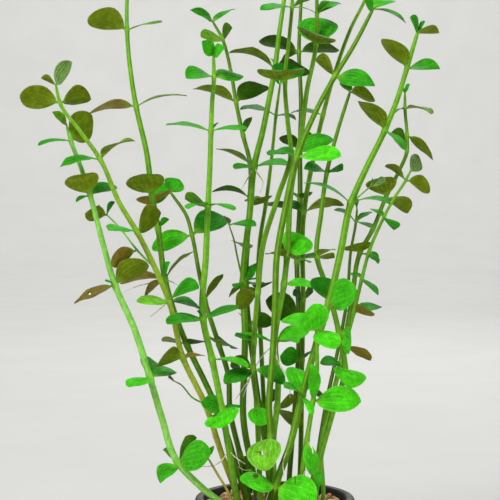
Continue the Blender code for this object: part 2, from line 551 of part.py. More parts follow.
def in_gravel(shoot, line):
    """The line with its buried end: the cut stem leans a little towards the middle of the pot."""
    if isinstance(shoot.foot[0], str):
        return line
    x, y = line[-1][:2] * LEAN_IN_SHARE
    return np.vstack([line, [x, y, GRAVEL_TOP - STEM_DEPTH]])


def make_shoot(shoot, line, blades, material):
    mesh = bmesh.new()
    nodes = {}
    for number in sorted(blades):
        nodes.setdefault(shoot.leaves[number].at, []).append(number)
    grow_stem(mesh, in_gravel(shoot, line), nodes, blades)
    return finish(shoot.name, mesh, material)


def turn_profile(mesh, profile, sides):
    """Turns a closed profile of (radius, height) about the Z axis; a radius of 0 makes a single point."""
    rings = []
    for radius, height in profile:
        if radius == 0:
            rings.append([mesh.verts.new((0, 0, height))] * sides)
            continue
        angles = [2 * math.pi * i / sides for i in range(sides)]
        rings.append([mesh.verts.new((radius * math.cos(a), radius * math.sin(a), height)) for a in angles])
    for low, high in zip(rings, rings[1:]):
        for i in range(sides):
            j = (i + 1) % sides
            corners = list(dict.fromkeys((low[i], low[j], high[j], high[i])))
            mesh.faces.new(corners)


def inside_radius(height):
    """The radius of the pot's inner wall at a height above the foot."""
    share = (height - POT_FLOOR) / (POT_HEIGHT - POT_FLOOR)
    foot = POT_FOOT_RADIUS - POT_WALL
    return foot + (POT_RIM_RADIUS - 3 * MM - foot) * share


def cut_with(target, cutter, name):
    cutter.hide_render = True
    cutter.display_type = "WIRE"
    modifier = target.modifiers.new(name, "BOOLEAN")
    modifier.operation = "DIFFERENCE"
    modifier.solver = "EXACT"
    modifier.object = cutter


def make_pot():
    """A tapered cup: flat foot with a small chamfer, a band round the mouth and four drain holes."""
    chamfer = 0.8 * MM
    band = POT_HEIGHT - POT_RIM_HEIGHT
    mouth = inside_radius(POT_HEIGHT)
    profile = (
        (0, 0), (POT_FOOT_RADIUS - chamfer, 0), (POT_FOOT_RADIUS, chamfer), (POT_SHOULDER_RADIUS, band),
        (POT_RIM_RADIUS - chamfer / 2, band), (POT_RIM_RADIUS, band + chamfer / 2),
        (POT_RIM_RADIUS, POT_HEIGHT - chamfer), (POT_RIM_RADIUS - chamfer, POT_HEIGHT),
        (mouth + chamfer, POT_HEIGHT), (mouth, POT_HEIGHT - chamfer),
        (inside_radius(POT_FLOOR), POT_FLOOR), (0, POT_FLOOR),
    )
    mesh = bmesh.new()
    turn_profile(mesh, profile, POT_SIDES)
    black = plain_material("pot_plastic", (0.02, 0.021, 0.022), 0.5)
    pot = finish("pot", mesh, black, math.radians(35))
    mesh = bmesh.new()
    for i in range(HOLES):
        angle = 2 * math.pi * (i + 0.5) / HOLES
        place = Matrix.Translation((HOLE_CIRCLE * math.cos(angle), HOLE_CIRCLE * math.sin(angle), 0))
        bmesh.ops.create_cone(mesh, cap_ends=True, segments=12, radius1=HOLE_RADIUS, radius2=HOLE_RADIUS,
                              depth=4 * POT_FLOOR, matrix=place)
    cut_with(pot, finish("drain_holes", mesh, black), "drain")
    return pot


def gravel_height(x, y):
    """The gravel's uneven top, as low waves of a stone's size."""
    wave = math.sin(x / (2.1 * MM) + 1.3) * math.cos(y / (2.6 * MM))
    return GRAVEL_TOP + GRAVEL_LUMP * wave


def make_gravel(lines):
    """The gravel that fills the pot, with a socket for each stem."""
    low = POT_FLOOR + GAP
    edge = inside_radius(GRAVEL_TOP) - GAP
    mesh = bmesh.new()
    turn_profile(mesh, [(0, low), (inside_radius(low) - GAP, low), (edge, GRAVEL_TOP)]
                 + [(radius, GRAVEL_TOP) for radius in reversed(GRAVEL_RINGS)] + [(0, GRAVEL_TOP)],
                 GRAVEL_SIDES)
    for vertex in mesh.verts:
        if vertex.co.z > GRAVEL_TOP - GAP and vertex.co.xy.length < edge - GAP:
            vertex.co.z = gravel_height(vertex.co.x, vertex.co.y)
    stones = plain_material("gravel", (0.55, 0.32, 0.17), 0.6)
    gravel = finish("gravel", mesh, stones)
    mesh = bmesh.new()
    for shoot in SHOOTS:
        if isinstance(shoot.foot[0], str):
            continue
        add_socket(mesh, in_gravel(shoot, lines[shoot.name]))
    cut_with(gravel, finish("stem_sockets", mesh, stones), "sockets")
    return gravel


def add_socket(mesh, line):
    """A square tube round a stem from just above the gravel down, a gap wider and a gap deeper than it."""
    foot = len(line) - 2
    ways = [unit(line[foot - 1] - line[foot]), direction_at(line, foot), direction_at(line, foot + 1)]
    ends = [line[foot] + ways[0] * SOCKET_ABOVE, line[foot], line[foot + 1]]
    facing = unit(np.cross(direction_at(line, len(line) - 1), np.array([0.0, 1.0, 0.2])))
    ends[2] = ends[2] - ways[2] * GAP
    below = None
    for middle, way in zip(reversed(ends), reversed(ways)):
        facing = unit(facing - way * facing.dot(way))
        below = add_ring(mesh, below, square(middle, way, STEM_SIDE + 2 * GAP, facing))
    mesh.faces.new(below)


def main():
    for made in list(bpy.data.objects):
        bpy.data.objects.remove(made)
    depths = clear_stems()
    lines = {shoot.name: stem_line(shoot, depths) for shoot in SHOOTS}
    blades = place_leaves(lines, depths)
    green = plain_material("leaf_and_stem", (0.1, 0.3, 0.02), 0.45)
    for shoot in SHOOTS:
        make_shoot(shoot, lines[shoot.name], blades[shoot.name], green)
    make_pot()
    make_gravel(lines)


main()
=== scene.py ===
"""Potted Lindernia rotundifolia: the looks of a bunch of upright stems with round leaves, in a small pot.

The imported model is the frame: the origin is the centre of the pot's flat foot and +Z is up. Each stem
and each leaf lies where its shoot's solid has it, so the plan of the shoots is the solids' own: points
as pixels (u, v) of the photograph's 500 x 500 frame, and depths in millimetres behind the pot's axis.
"""

import functools
import itertools
import math
from collections import namedtuple

import bmesh
import bpy
import numpy as np
from bpy.props import FloatProperty, FloatVectorProperty, IntProperty, PointerProperty
from mathutils import Matrix, Vector
from mathutils.bvhtree import BVHTree


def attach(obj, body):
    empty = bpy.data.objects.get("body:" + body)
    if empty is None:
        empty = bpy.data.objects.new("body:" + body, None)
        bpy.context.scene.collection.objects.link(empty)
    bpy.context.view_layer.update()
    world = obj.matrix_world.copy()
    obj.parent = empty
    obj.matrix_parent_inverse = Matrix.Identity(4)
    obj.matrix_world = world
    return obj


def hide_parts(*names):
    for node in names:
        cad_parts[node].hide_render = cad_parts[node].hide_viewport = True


bl_info = {
    "name": "Potted Lindernia rotundifolia",
    "version": (1, 0, 0),
    "blender": (4, 5, 0),
    "location": "3D View > Sidebar > Plant",
    "description": "Builds a potted bunch of stems with round leaves in pairs",
    "category": "Add Mesh",
}

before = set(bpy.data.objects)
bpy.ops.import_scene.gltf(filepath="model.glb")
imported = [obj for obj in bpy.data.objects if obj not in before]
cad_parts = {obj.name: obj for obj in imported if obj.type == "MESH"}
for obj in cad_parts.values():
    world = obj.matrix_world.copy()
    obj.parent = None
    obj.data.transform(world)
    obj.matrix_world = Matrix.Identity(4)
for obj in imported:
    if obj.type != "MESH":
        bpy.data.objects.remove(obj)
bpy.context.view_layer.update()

MM = 0.001

# The line of sight: 500 pixels are 166.7 mm across at the pot's axis, seen from 500 mm away
EYE = np.array([-8.33, -500.0, 150.0]) * MM
TILT_DOWN = math.radians(2.75)
PHOTO_PIXELS = 500
CENTRE_PIXEL = 250
FOCAL_PIXELS = 1500
SENSOR_WIDTH = 36.0

# The solids' sizes, which the plan of the shoots is made with
STEM_SIDE = 1.8 * MM
STEMS_APART = 2.95 * MM
LEAF_THICK = 0.45 * MM
LEAF_START = 1.7 * MM
LEAF_ARCH = 0.1
GAP = 0.3 * MM
LEAF_OUTLINE = ((0.0, 0.32), (0.3, 0.95), (0.7, 0.9), (1.0, 0.28))
SMALL_LEAF_OUTLINE = ((0.0, 0.34), (0.45, 1.0), (1.0, 0.34))
SMALL_LEAF = 14 * MM
BUD_OUTLINE = ((0.0, 0.6), (1.0, 0.45))
BUD = 8 * MM
POT_HEIGHT = 43 * MM
POT_FOOT_RADIUS = 19.5 * MM
POT_SHOULDER_RADIUS = 24.3 * MM
POT_RIM_RADIUS = 27 * MM
POT_RIM_HEIGHT = 6 * MM
POT_WALL = 1.4 * MM
POT_RIM_WALL = 3 * MM
POT_FLOOR = 2 * MM
HOLE_RADIUS = 1.7 * MM
HOLE_CIRCLE = 11 * MM
HOLES = 4
GRAVEL_TOP = 40 * MM
GRAVEL_LUMP = 0.7 * MM
STEM_DEPTH = 20 * MM
LEAN_IN_SHARE = 0.8

# A leaf's colours, some with painted light or painted shade in them: the colour of its upper face, of its
# underside and of its veins
Tone = namedtuple("Tone", "upper under vein")
# A fresh bright green with painted light on it, for the leaves whose faces turn to the light
BRIGHT_LIT = Tone((0.062, 0.620, 0.006), (0.120, 0.400, 0.008), (0.24, 0.80, 0.08))
SUNNY = Tone((0.125, 0.450, 0.006), (0.150, 0.360, 0.008), (0.46, 0.78, 0.22))
MID = Tone((0.038, 0.385, 0.006), (0.110, 0.320, 0.008), (0.16, 0.62, 0.07))
GREEN = Tone((0.024, 0.285, 0.005), (0.095, 0.250, 0.006), (0.13, 0.50, 0.05))
OLIVE = Tone((0.085, 0.275, 0.005), (0.165, 0.240, 0.006), (0.34, 0.40, 0.05))
BROWN = Tone((0.130, 0.200, 0.010), (0.290, 0.215, 0.022), (0.40, 0.32, 0.05))
# Painted shade: the green of the leaves at the back, darkened as if they stood in shadow
SHADED_LEAF = Tone((0.014, 0.150, 0.006), (0.048, 0.120, 0.005), (0.06, 0.30, 0.02))
PALE = Tone((0.080, 0.175, 0.022), (0.110, 0.190, 0.025), (0.48, 0.64, 0.34))

Shoot = namedtuple("Shoot", "name points back foot leaves")
Leaf = namedtuple("Leaf", "at tip length shows side broad tone pointed")


def leaf(at, u, v, length, shows, side=1, broad=0.74, tone=GREEN, pointed=False):
    """A leaf at the shoot's point number `at`, whose tip is at pixel (u, v).

    length is in millimetres. shows says how far the upper face is turned to the viewer: 1 is all of
    it, 0 is edge on, and below 0 the underside shows. side is 1 for a tip nearer the viewer than the
    stem, and -1 for one further away. broad is the width as a share of the length. A pointed leaf is
    widest near its foot.
    """
    return Leaf(at, (u, v), length, shows, side, broad, tone, pointed)


# back is how far behind the pot's axis the top is, in millimetres. foot is where the stem goes into
# the gravel, (x, y) in millimetres, or the shoot that a side shoot grows from and its point's number.
SHOOTS = (
    Shoot("shoot_01", ((56, 86), (60, 103), (80, 131), (100, 159), (120, 204), (137, 232), (155, 268),
                       (169, 301), (183, 358), (205, 404), (222, 455)), -13, (-11.7, -1), (
        leaf(0, 72, 62, 10, 0.7, tone=PALE), leaf(0, 41, 78, 6, -0.4, -1, tone=OLIVE),
        leaf(1, 20, 95, 14, -0.75, tone=OLIVE), leaf(1, 91, 99, 11.5, -0.7, -1, tone=OLIVE),
        leaf(3, 135, 141, 14, -0.14, tone=OLIVE, pointed=True), leaf(3, 60, 167, 14, 0.2, pointed=True),
        leaf(5, 108, 230, 13, 0.17, tone=MID), leaf(5, 161, 213, 12.5, -0.6, -1, 0.85, tone=OLIVE),
        leaf(7, 137, 302, 12, 0.45, tone=SUNNY), leaf(7, 199, 288, 13, 0.45), leaf(7, 200, 309, 11, 0.35, -1),
        leaf(8, 158, 364, 12, -0.55, 1, 0.9, tone=OLIVE), leaf(8, 205, 356, 8, -0.3, tone=BROWN),
        leaf(9, 219, 397, 7, 0.5, -1))),
    Shoot("side_shoot_01", ((107, 215), (119, 227), (133, 245), (137, 250)), 2, ("shoot_01", 6), (
        leaf(0, 85, 214, 8.5, -0.75, 1, 0.85, tone=OLIVE), leaf(0, 99, 205, 6, -0.3, -1, tone=OLIVE),
        leaf(0, 115, 202, 6, 0.4),
        leaf(3, 111, 264, 11, -0.6, tone=BROWN))),
    Shoot("side_shoot_02", ((174, 381), (180, 384), (193, 398)), -2, ("shoot_01", 9), (
        leaf(0, 170, 375, 3.5, -0.4, tone=BROWN),)),
    Shoot("shoot_02", ((67, 126), (71, 141), (80, 165), (90, 195), (102, 240), (115, 285), (134, 328),
                       (150, 378), (161, 415), (178, 463), (200, 486)), -5, (-15.5, -9), (
        leaf(0, 52, 112, 7.5, 0.6, 1, 0.6, tone=OLIVE),
        leaf(1, 92, 115, 13.5, -0.85, -1, 0.9, tone=OLIVE), leaf(1, 38, 145, 12.5, 0.12, pointed=True),
        leaf(3, 77, 171, 14.5, -0.97, 1, 0.93, tone=OLIVE), leaf(3, 116, 186, 11, 0.4, -1),
        leaf(3, 76, 202, 5.5, 0.3),
        leaf(5, 74, 303, 15, -0.25, tone=BROWN, pointed=True), leaf(5, 105, 281, 4, 0.3),
        leaf(5, 153, 259, 15.5, -0.7, -1, tone=OLIVE),
        leaf(7, 162, 366, 12.8, 0.9, -1, 1.05),
        leaf(7, 129, 387, 12, 0.45, tone=BRIGHT_LIT),
        leaf(9, 160, 483, 11, 0.75, 1, 0.7, tone=MID, pointed=True), leaf(9, 163, 450, 8, -0.4, -1),
        leaf(9, 211, 454, 14.5, 0.9, tone=MID), leaf(9, 200, 433, 12.5, -0.35, -1))),
    Shoot("shoot_03", ((130, -32), (127, 0), (127, 30), (131, 75), (136, 106), (147, 155), (152, 195),
                       (158, 228), (165, 279), (187, 345), (204, 380), (220, 415), (236, 465)),
          6, (-9.3, 2.3), (
        leaf(0, 117, -45, 7.5, 0.5), leaf(0, 143, -43, 7.5, 0.4, -1),
        leaf(2, 88, 18, 15, -0.65, tone=OLIVE), leaf(2, 162, 22, 13, -0.06, 1, 0.6, tone=OLIVE),
        leaf(4, 88, 115, 16.5, -0.35, tone=BROWN, pointed=True),
        leaf(4, 187, 96, 17.5, 0.12, 1, 0.6, tone=OLIVE, pointed=True),
        leaf(6, 143, 174, 13, -0.97, 1, 1.0, tone=OLIVE), leaf(6, 156, 204, 13, -0.97, -1, 0.95, tone=BROWN),
        leaf(7, 169, 219, 5, 0.5),
        leaf(8, 120, 284, 15.5, -0.2, tone=BROWN), leaf(8, 145, 297, 10, -0.35, tone=BROWN),
        leaf(8, 195, 251, 13.5, -0.15, 1, 0.5, tone=OLIVE),
        leaf(8, 170, 262, 6.5, 0.3, -1),
        leaf(9, 162, 341, 10, 0.2, tone=BROWN), leaf(9, 204, 342, 11, -0.4, 1, 0.6, tone=SHADED_LEAF))),
    Shoot("shoot_04", ((213.5, 56), (214, 77), (212, 105), (211, 131), (210, 165), (208, 206), (206, 255),
                       (203, 318), (212, 359), (222, 409), (229, 450)), -9, (-12.3, -5), (
        leaf(0, 202, 41, 7.5, 0.85, 1, 0.7, tone=MID), leaf(0, 225, 48, 6, 0.8, 1, 0.85, tone=MID),
        leaf(1, 186, 78, 12, 0.35), leaf(1, 243, 76, 12, 0.55, -1, pointed=True),
        leaf(3, 166, 125, 15, 0.22, 1, 0.65, tone=MID),
        leaf(3, 247, 129, 12.5, 0.18, 1, 0.65, tone=MID),
        leaf(3, 221, 119, 4, 0.4),
        leaf(5, 188, 209, 11, 0.15, tone=MID), leaf(5, 234, 210, 12, 0.15, tone=MID),
        leaf(5, 185, 199, 11, -0.4, -1),
        leaf(7, 167, 324, 14, 0.45), leaf(7, 239, 308, 13, 0.35), leaf(7, 196, 310, 3.5, 0.4),
        leaf(8, 248, 368, 13, 0.2, tone=BRIGHT_LIT),
        leaf(9, 224, 427, 12.5, 0.95, 1, 1.0, tone=BRIGHT_LIT), leaf(9, 243, 406, 8.5, 0.4),
        leaf(9, 201, 403, 8, 0.75, 1, 0.9))),
    Shoot("shoot_05", ((213, 22), (222, 38), (231, 72), (236, 102), (243, 135), (250, 163), (250, 197),
                       (247, 250), (246, 285), (249, 325)), 20, (-1.5, 9.5), (
        leaf(0, 190, 10, 11, 0.6, 1, 0.42, pointed=True), leaf(0, 235, 9, 11, 0.4, -1, 0.42, pointed=True),
        leaf(0, 208, 13, 4, 0.4),
        leaf(1, 201, 37, 10, 0.5, tone=OLIVE), leaf(1, 232, 28, 9, -0.7, -1),
        leaf(3, 193, 89, 15.5, -0.35, tone=OLIVE, pointed=True), leaf(3, 267, 86, 14, -0.7, tone=SHADED_LEAF),
        leaf(4, 252, 117, 6.5, -0.5, tone=SHADED_LEAF),
        leaf(5, 216, 149, 13, -0.25, tone=OLIVE), leaf(6, 212, 192, 13, -0.08, tone=SHADED_LEAF, pointed=True),
        leaf(7, 238, 243, 11, 0.3, -1, tone=SHADED_LEAF), leaf(8, 229, 297, 8, -0.4, 1, 0.45, tone=OLIVE),
        leaf(8, 257, 299, 11, -0.3, -1, tone=OLIVE),
        leaf(9, 274, 320, 9, -0.8, 1, 0.8, tone=SHADED_LEAF), leaf(9, 243, 318, 11, 0.3, -1, tone=SHADED_LEAF))),
    Shoot("shoot_06", ((288, -34), (284, 0), (279, 35), (275, 68), (269, 100), (263, 130), (254, 167),
                       (250, 210), (243, 282), (245, 335), (244, 375), (243, 411)), 5, (-5.8, 9), (
        leaf(0, 276, -45, 7.5, 0.5), leaf(0, 300, -44, 7.5, 0.4, -1),
        leaf(3, 229, 53, 16.5, -0.14, tone=OLIVE), leaf(3, 309, 71, 13.5, -0.65, tone=SHADED_LEAF),
        leaf(3, 270, 57, 4, 0.4),
        leaf(6, 237, 154, 7.5, 0.3), leaf(6, 235, 169, 9.5, 0.4, tone=MID),
        leaf(6, 289, 165, 13, 0.3, tone=MID),
        leaf(8, 257, 263, 9, 0.6, -1), leaf(8, 236, 289, 5.5, 0.4), leaf(8, 259, 279, 7, 0.15),
        leaf(10, 231, 367, 10, -0.5, -1, tone=SHADED_LEAF))),
    Shoot("shoot_07", ((171, 193), (187, 217), (192, 235), (199, 272), (205, 300), (219, 345), (228, 374),
                       (230, 410), (240, 455)), 13, (-8.5, 6), (
        leaf(0, 151, 194, 9, 0.85, 1, 0.95, tone=MID), leaf(0, 179, 179, 7.5, 0.85, -1, 1.1, tone=MID),
        leaf(2, 152, 249, 15, 0.6, tone=BRIGHT_LIT), leaf(2, 227, 218, 15, 0.78, -1, tone=SHADED_LEAF),
        leaf(4, 223, 274, 11, -0.5, 1, 0.4, tone=OLIVE), leaf(5, 211, 338, 11, -0.4, -1, tone=OLIVE),
        leaf(5, 231, 348, 11, 0.3, -1, tone=SHADED_LEAF),
        leaf(8, 250, 476, 10, -0.5))),
    Shoot("side_shoot_03", ((229, 225), (234, 240), (236.5, 253)), 3, ("shoot_06", 8), (
        leaf(0, 224, 216, 4.5, -0.5, tone=PALE), leaf(0, 256, 226, 10, 0.2))),
    Shoot("shoot_08", ((293, -22), (292, 7), (289, 40), (285, 82), (288, 125), (291, 153), (278, 197),
                       (263, 245), (258, 292), (254, 342), (253, 369), (257, 405), (258, 430)),
          -6, (-4.8, -1), (
        leaf(0, 283, -34, 7, 0.5), leaf(0, 304, -34, 7, 0.4, -1),
        leaf(1, 261, 10, 13, 0.25, 1, 0.6), leaf(1, 310, 0, 9, -0.5, -1), leaf(1, 317, 14, 9, 0.15),
        leaf(3, 280, 71, 14.5, -0.97, 1, 1.08, tone=OLIVE), leaf(3, 294, 66, 12.5, 0.85, -1, 0.95, tone=SHADED_LEAF),
        leaf(5, 333, 139, 14.5, 0.6, 1, 0.6, tone=MID), leaf(5, 268, 155, 10, 0.3),
        leaf(8, 236, 307, 11.5, -0.75, tone=OLIVE), leaf(9, 235, 336, 9, 0.3),
        leaf(10, 225, 384, 12, 0.62), leaf(10, 285, 383, 12, 0.55, 1, 0.7),
        leaf(10, 233, 358, 8, -0.6, -1, tone=SHADED_LEAF),
        leaf(11, 262, 430, 11.5, 0.9, 1, 0.9, tone=BRIGHT_LIT))),
    Shoot("shoot_09", ((303, -26), (301, 5), (299, 52), (301, 100), (300, 150), (300, 200), (297, 262),
                       (299, 320)), 36, (5, 17), (
        leaf(0, 292, -36, 7, 0.5), leaf(0, 314, -37, 7, 0.4, -1),
        leaf(2, 259, 41, 15, -0.4, tone=SHADED_LEAF), leaf(2, 339, 50, 15, -0.4, tone=SHADED_LEAF),
        leaf(2, 279, 64, 9, -0.4, tone=SHADED_LEAF),
        leaf(4, 280, 137, 10, -0.5, tone=SHADED_LEAF), leaf(4, 313, 135, 9, -0.5, -1, tone=SHADED_LEAF),
        leaf(5, 311, 192, 11, -0.4, -1, tone=SHADED_LEAF), leaf(5, 290, 193, 11, 0.3, -1, tone=SHADED_LEAF),
        leaf(6, 278, 250, 12, -0.4, -1, tone=SHADED_LEAF), leaf(6, 318, 252, 12, 0.3, -1, tone=SHADED_LEAF),
        leaf(7, 266, 300, 14.5, -0.8, -1, 0.8, tone=SHADED_LEAF))),
    Shoot("shoot_10", ((316, -22), (317, 14), (316, 45), (307, 90), (301, 135), (291, 190), (287, 257),
                       (284, 284), (275, 343), (278, 378), (277, 408), (274, 432)), 11, (0, 2), (
        leaf(0, 306, -33, 7, 0.5), leaf(0, 328, -32, 7, 0.4, -1),
        leaf(1, 341, 4, 10, 0.5, -1), leaf(1, 329, 1, 7, -0.2),
        leaf(2, 317, 35, 13, -0.97, 1, 1.05, tone=OLIVE), leaf(2, 320, 18, 13, 0.97, -1, 1.08, tone=MID),
        leaf(6, 306, 237, 12, 0.95, -1, 0.95, tone=BRIGHT_LIT), leaf(6, 268, 254, 11, -0.25, tone=OLIVE),
        leaf(6, 308, 262, 11, -0.25, tone=OLIVE),
        leaf(8, 309, 343, 13, 0.3, 1, 0.6, tone=BRIGHT_LIT), leaf(8, 309, 330, 13, 0.75, -1, 0.6, tone=BRIGHT_LIT),
        leaf(8, 237, 334, 14, 0.25, 1, 0.45, tone=BRIGHT_LIT, pointed=True),
        leaf(7, 317, 288, 11.5, 0.62, 1, 0.5, tone=BRIGHT_LIT, pointed=True),
        leaf(10, 297, 428, 12, -0.5, -1, tone=OLIVE), leaf(10, 296, 400, 9, -0.5, -1, tone=OLIVE))),
    Shoot("shoot_11", ((373, 9), (353, 47), (335, 76), (315, 113), (297, 157), (285, 210), (277, 255),
                       (275, 310), (272, 365), (269, 405), (271, 436)), -18, (-2.4, -6), (
        leaf(0, 364, -4, 9, 0.6, tone=MID), leaf(0, 391, 0, 10, 0.5, -1, tone=MID),
        leaf(0, 406, 23, 12, 0.12, 1, 0.6, pointed=True),
        leaf(2, 316, 61, 11, -0.5, -1, tone=OLIVE), leaf(2, 375, 86, 14, 0.62, pointed=True),
        leaf(2, 352, 90, 8, 0.5),
        leaf(4, 341, 156, 15.5, 0.45, 1, 0.6, tone=BRIGHT_LIT), leaf(4, 277, 150, 9, 0.3, -1),
        leaf(10, 265, 471, 13.5, 0.92, 1, 0.92, tone=SUNNY))),
    Shoot("shoot_12", ((371, -20), (366, -3), (351, 28), (337, 66), (323, 115), (312, 165), (304, 212),
                       (303, 300), (302, 360)), 26, (8.5, 12.5), (
        leaf(0, 361, -31, 7, 0.5), leaf(0, 383, -29, 7, 0.4, -1),
        leaf(4, 291, 113, 11, 0.3, -1, tone=SHADED_LEAF),
        leaf(6, 344, 205, 14, -0.25, -1, tone=OLIVE, pointed=True), leaf(6, 284, 203, 12, 0.3, -1, tone=SHADED_LEAF),
        leaf(7, 313, 292, 11, -0.4, -1, tone=SHADED_LEAF), leaf(7, 293, 295, 11, 0.3, -1, tone=SHADED_LEAF),
        leaf(8, 311, 351, 12, 0.3, -1, tone=SHADED_LEAF), leaf(8, 280, 356, 8.5, 0.9, -1, 0.95))),
    Shoot("shoot_13", ((350, 92), (338, 130), (327, 172), (321, 215), (317, 257), (328, 290), (339, 333),
                       (345, 368), (332, 415), (319, 465)), -11, (13.5, 1.5), (
        leaf(0, 340, 81, 5.5, -0.6, tone=OLIVE), leaf(0, 375, 101, 10, -0.5, tone=OLIVE, pointed=True),
        leaf(2, 304, 169, 9, 0.35), leaf(2, 343, 170, 8, 0.35),
        leaf(4, 335, 250, 9, -0.3, tone=OLIVE), leaf(4, 334, 258, 8, -0.3, -1, tone=OLIVE),
        leaf(4, 300, 261, 9, -0.2),
        leaf(7, 350, 388, 12, 0.85, 1, 0.95, tone=BRIGHT_LIT), leaf(6, 351, 345, 12, 0.7, -1, 0.9, tone=BRIGHT_LIT),
        leaf(7, 320, 363, 11, 0.3),
        leaf(9, 316, 488, 9, 0.6, tone=BRIGHT_LIT))),
    Shoot("shoot_14", ((418, 31), (407, 68), (397, 100), (385, 130), (365, 171), (351, 203), (341, 250),
                       (329, 302), (316, 345), (302, 396), (290, 445), (276, 487)), -24, (-0.5, -9.5), (
        leaf(0, 410, 17, 8, 0.5), leaf(0, 439, 33, 10, -0.5, -1, 0.6, tone=OLIVE, pointed=True),
        leaf(0, 425, 21, 4, 0.4),
        leaf(1, 382, 39, 14.5, -0.65, 1, 0.6, tone=OLIVE, pointed=True),
        leaf(1, 440, 69, 12, 0.4, pointed=True),
        leaf(3, 358, 101, 14.5, -0.6, 1, 0.62, tone=OLIVE, pointed=True),
        leaf(3, 405, 150, 12, 0.35, 1, 0.5, pointed=True),
        leaf(5, 304, 183, 17, 0.2, 1, 0.5, pointed=True), leaf(5, 390, 204, 14.5, 0.2),
        leaf(7, 357, 291, 14, 0.95, 1, 0.76, tone=MID),
        leaf(7, 314, 278, 10, 0.7, -1, 0.9, tone=SHADED_LEAF),
        leaf(7, 348, 312, 10, 0.25),
        leaf(9, 284, 387, 10, 0.3), leaf(9, 315, 424, 12, 0.6, 1, 0.55, tone=BRIGHT_LIT),
        leaf(9, 293, 367, 12.5, 0.85, -1, 0.85, tone=BRIGHT_LIT),
        leaf(11, 317, 499, 15.5, 0.92, 1, 0.85, tone=BRIGHT_LIT),
        leaf(11, 240, 480, 13.5, 0.7, 1, 0.72, tone=BRIGHT_LIT))),
    Shoot("side_shoot_04", ((371, 186), (364, 192)), -14, ("shoot_14", 5), (
        leaf(0, 386, 182, 7, 0.4, tone=PALE), leaf(0, 372, 179, 4, 0.4, -1))),
    Shoot("shoot_15", ((410, 172), (406, 180), (393, 200), (384, 217), (369, 252), (362, 278), (354, 312),
                       (345, 345), (332, 400), (322, 440)), 3, (16.5, 5), (
        leaf(0, 418, 155, 7.5, 0.85, -1, 0.85, tone=PALE),
        leaf(1, 385, 166, 10, -0.4, -1, tone=OLIVE), leaf(1, 430, 191, 10, -0.6, tone=OLIVE),
        leaf(3, 370, 209, 8, 0.3, -1), leaf(3, 394, 230, 9, 0.5),
        leaf(4, 378, 264, 5.5, 0.3),
        leaf(5, 378, 295, 11, 0.4, 1, 0.5, pointed=True), leaf(5, 350, 273, 8, 0.3, -1),
        leaf(6, 382, 307, 11, 0.5, -1, 0.6, pointed=True), leaf(6, 372, 312, 9.5, -0.65, 1, 0.75, tone=BROWN),
        leaf(7, 371, 360, 11, -0.45, -1, 0.55, tone=BROWN))),
    Shoot("shoot_16", ((405, 94), (405, 108), (407, 135), (407, 151), (398, 173), (386, 197), (373, 229),
                       (360, 253), (352, 300), (343, 350)), 12, (12, 8.5), (
        leaf(0, 410, 84, 4.5, 0.4), leaf(0, 400, 85, 4, 0.4, -1),
        leaf(1, 395, 113, 7, 0.2, tone=OLIVE), leaf(1, 432, 114, 12, 0.08, tone=OLIVE),
        leaf(2, 433, 160, 12.5, -0.6, 1, 0.5, tone=OLIVE, pointed=True),
        leaf(3, 391, 133, 11, -0.5, -1, tone=SHADED_LEAF),
        leaf(5, 380, 178, 12.5, -0.97, 1, 0.85, tone=OLIVE), leaf(5, 408, 213, 12, -0.5, -1, tone=OLIVE),
        leaf(6, 358, 222, 9, 0.3, -1),
        leaf(7, 355, 244, 11.5, -0.9, 1, 0.95, tone=OLIVE), leaf(7, 378, 262, 9, 0.3),
        leaf(8, 343, 295, 10, -0.3, -1, tone=SHADED_LEAF), leaf(9, 334, 344, 10, 0.3, -1, tone=SHADED_LEAF))),
    Shoot("shoot_17", ((357, 209), (356, 222), (351, 250), (347, 300), (341, 335), (327, 400)),
          23, (13, 13), (
        leaf(0, 359, 199, 4, 0.4), leaf(1, 334, 210, 9, 0.2), leaf(1, 372, 212, 7, 0.3, -1),
        leaf(3, 338, 294, 10, 0.3, -1, tone=SHADED_LEAF), leaf(3, 357, 297, 10, -0.3, -1, tone=SHADED_LEAF),
        leaf(5, 317, 396, 11, -0.4, -1, tone=SHADED_LEAF))),
    Shoot("shoot_18", ((280, 85), (276, 115), (273, 145), (266, 203), (260, 240), (258, 290), (261, 345),
                       (264, 405)), 24, (-1, 14), (
        leaf(0, 271, 75, 5, 0.4), leaf(0, 290, 76, 5, 0.4, -1),
        leaf(1, 240, 109, 13.5, 0.2, tone=SHADED_LEAF), leaf(1, 296, 120, 8, 0.3, tone=SHADED_LEAF),
        leaf(3, 259, 198, 12, -0.85, 1, 0.75, tone=OLIVE), leaf(3, 245, 200, 9, 0.3, -1, tone=OLIVE),
        leaf(3, 285, 208, 10, -0.4, -1, tone=SHADED_LEAF),
        leaf(5, 268, 283, 11, -0.4, -1, tone=SHADED_LEAF), leaf(5, 249, 284, 11, 0.3, -1, tone=SHADED_LEAF),
        leaf(7, 275, 399, 11, -0.4, -1, tone=SHADED_LEAF))),
    Shoot("shoot_19", ((316, 331), (317, 350), (317, 372), (313, 401), (307, 440), (302, 475)),
          -22, (8, -6), (
        leaf(0, 313, 304, 11, 0.95, 1, 0.95, tone=BRIGHT_LIT),
        leaf(0, 335, 349, 11, 0.8, 1, 0.85, tone=BRIGHT_LIT),
        leaf(0, 282, 320, 13, 0.5, -1, tone=BRIGHT_LIT),
        leaf(3, 312, 364, 13, 0.85, 1, 0.36, tone=BRIGHT_LIT),
        leaf(3, 361, 402, 17, 0.78, 1, 0.62, tone=BRIGHT_LIT),
        leaf(4, 311, 475, 12.5, 0.7, 1, 0.6, tone=BRIGHT_LIT))),
    Shoot("shoot_20", ((208, 458), (218, 475), (229, 494)), -14, (-13.5, -13.5), (
        leaf(0, 199, 449, 4.5, 0.5), leaf(0, 214, 446, 4.5, 0.5, -1))),
)


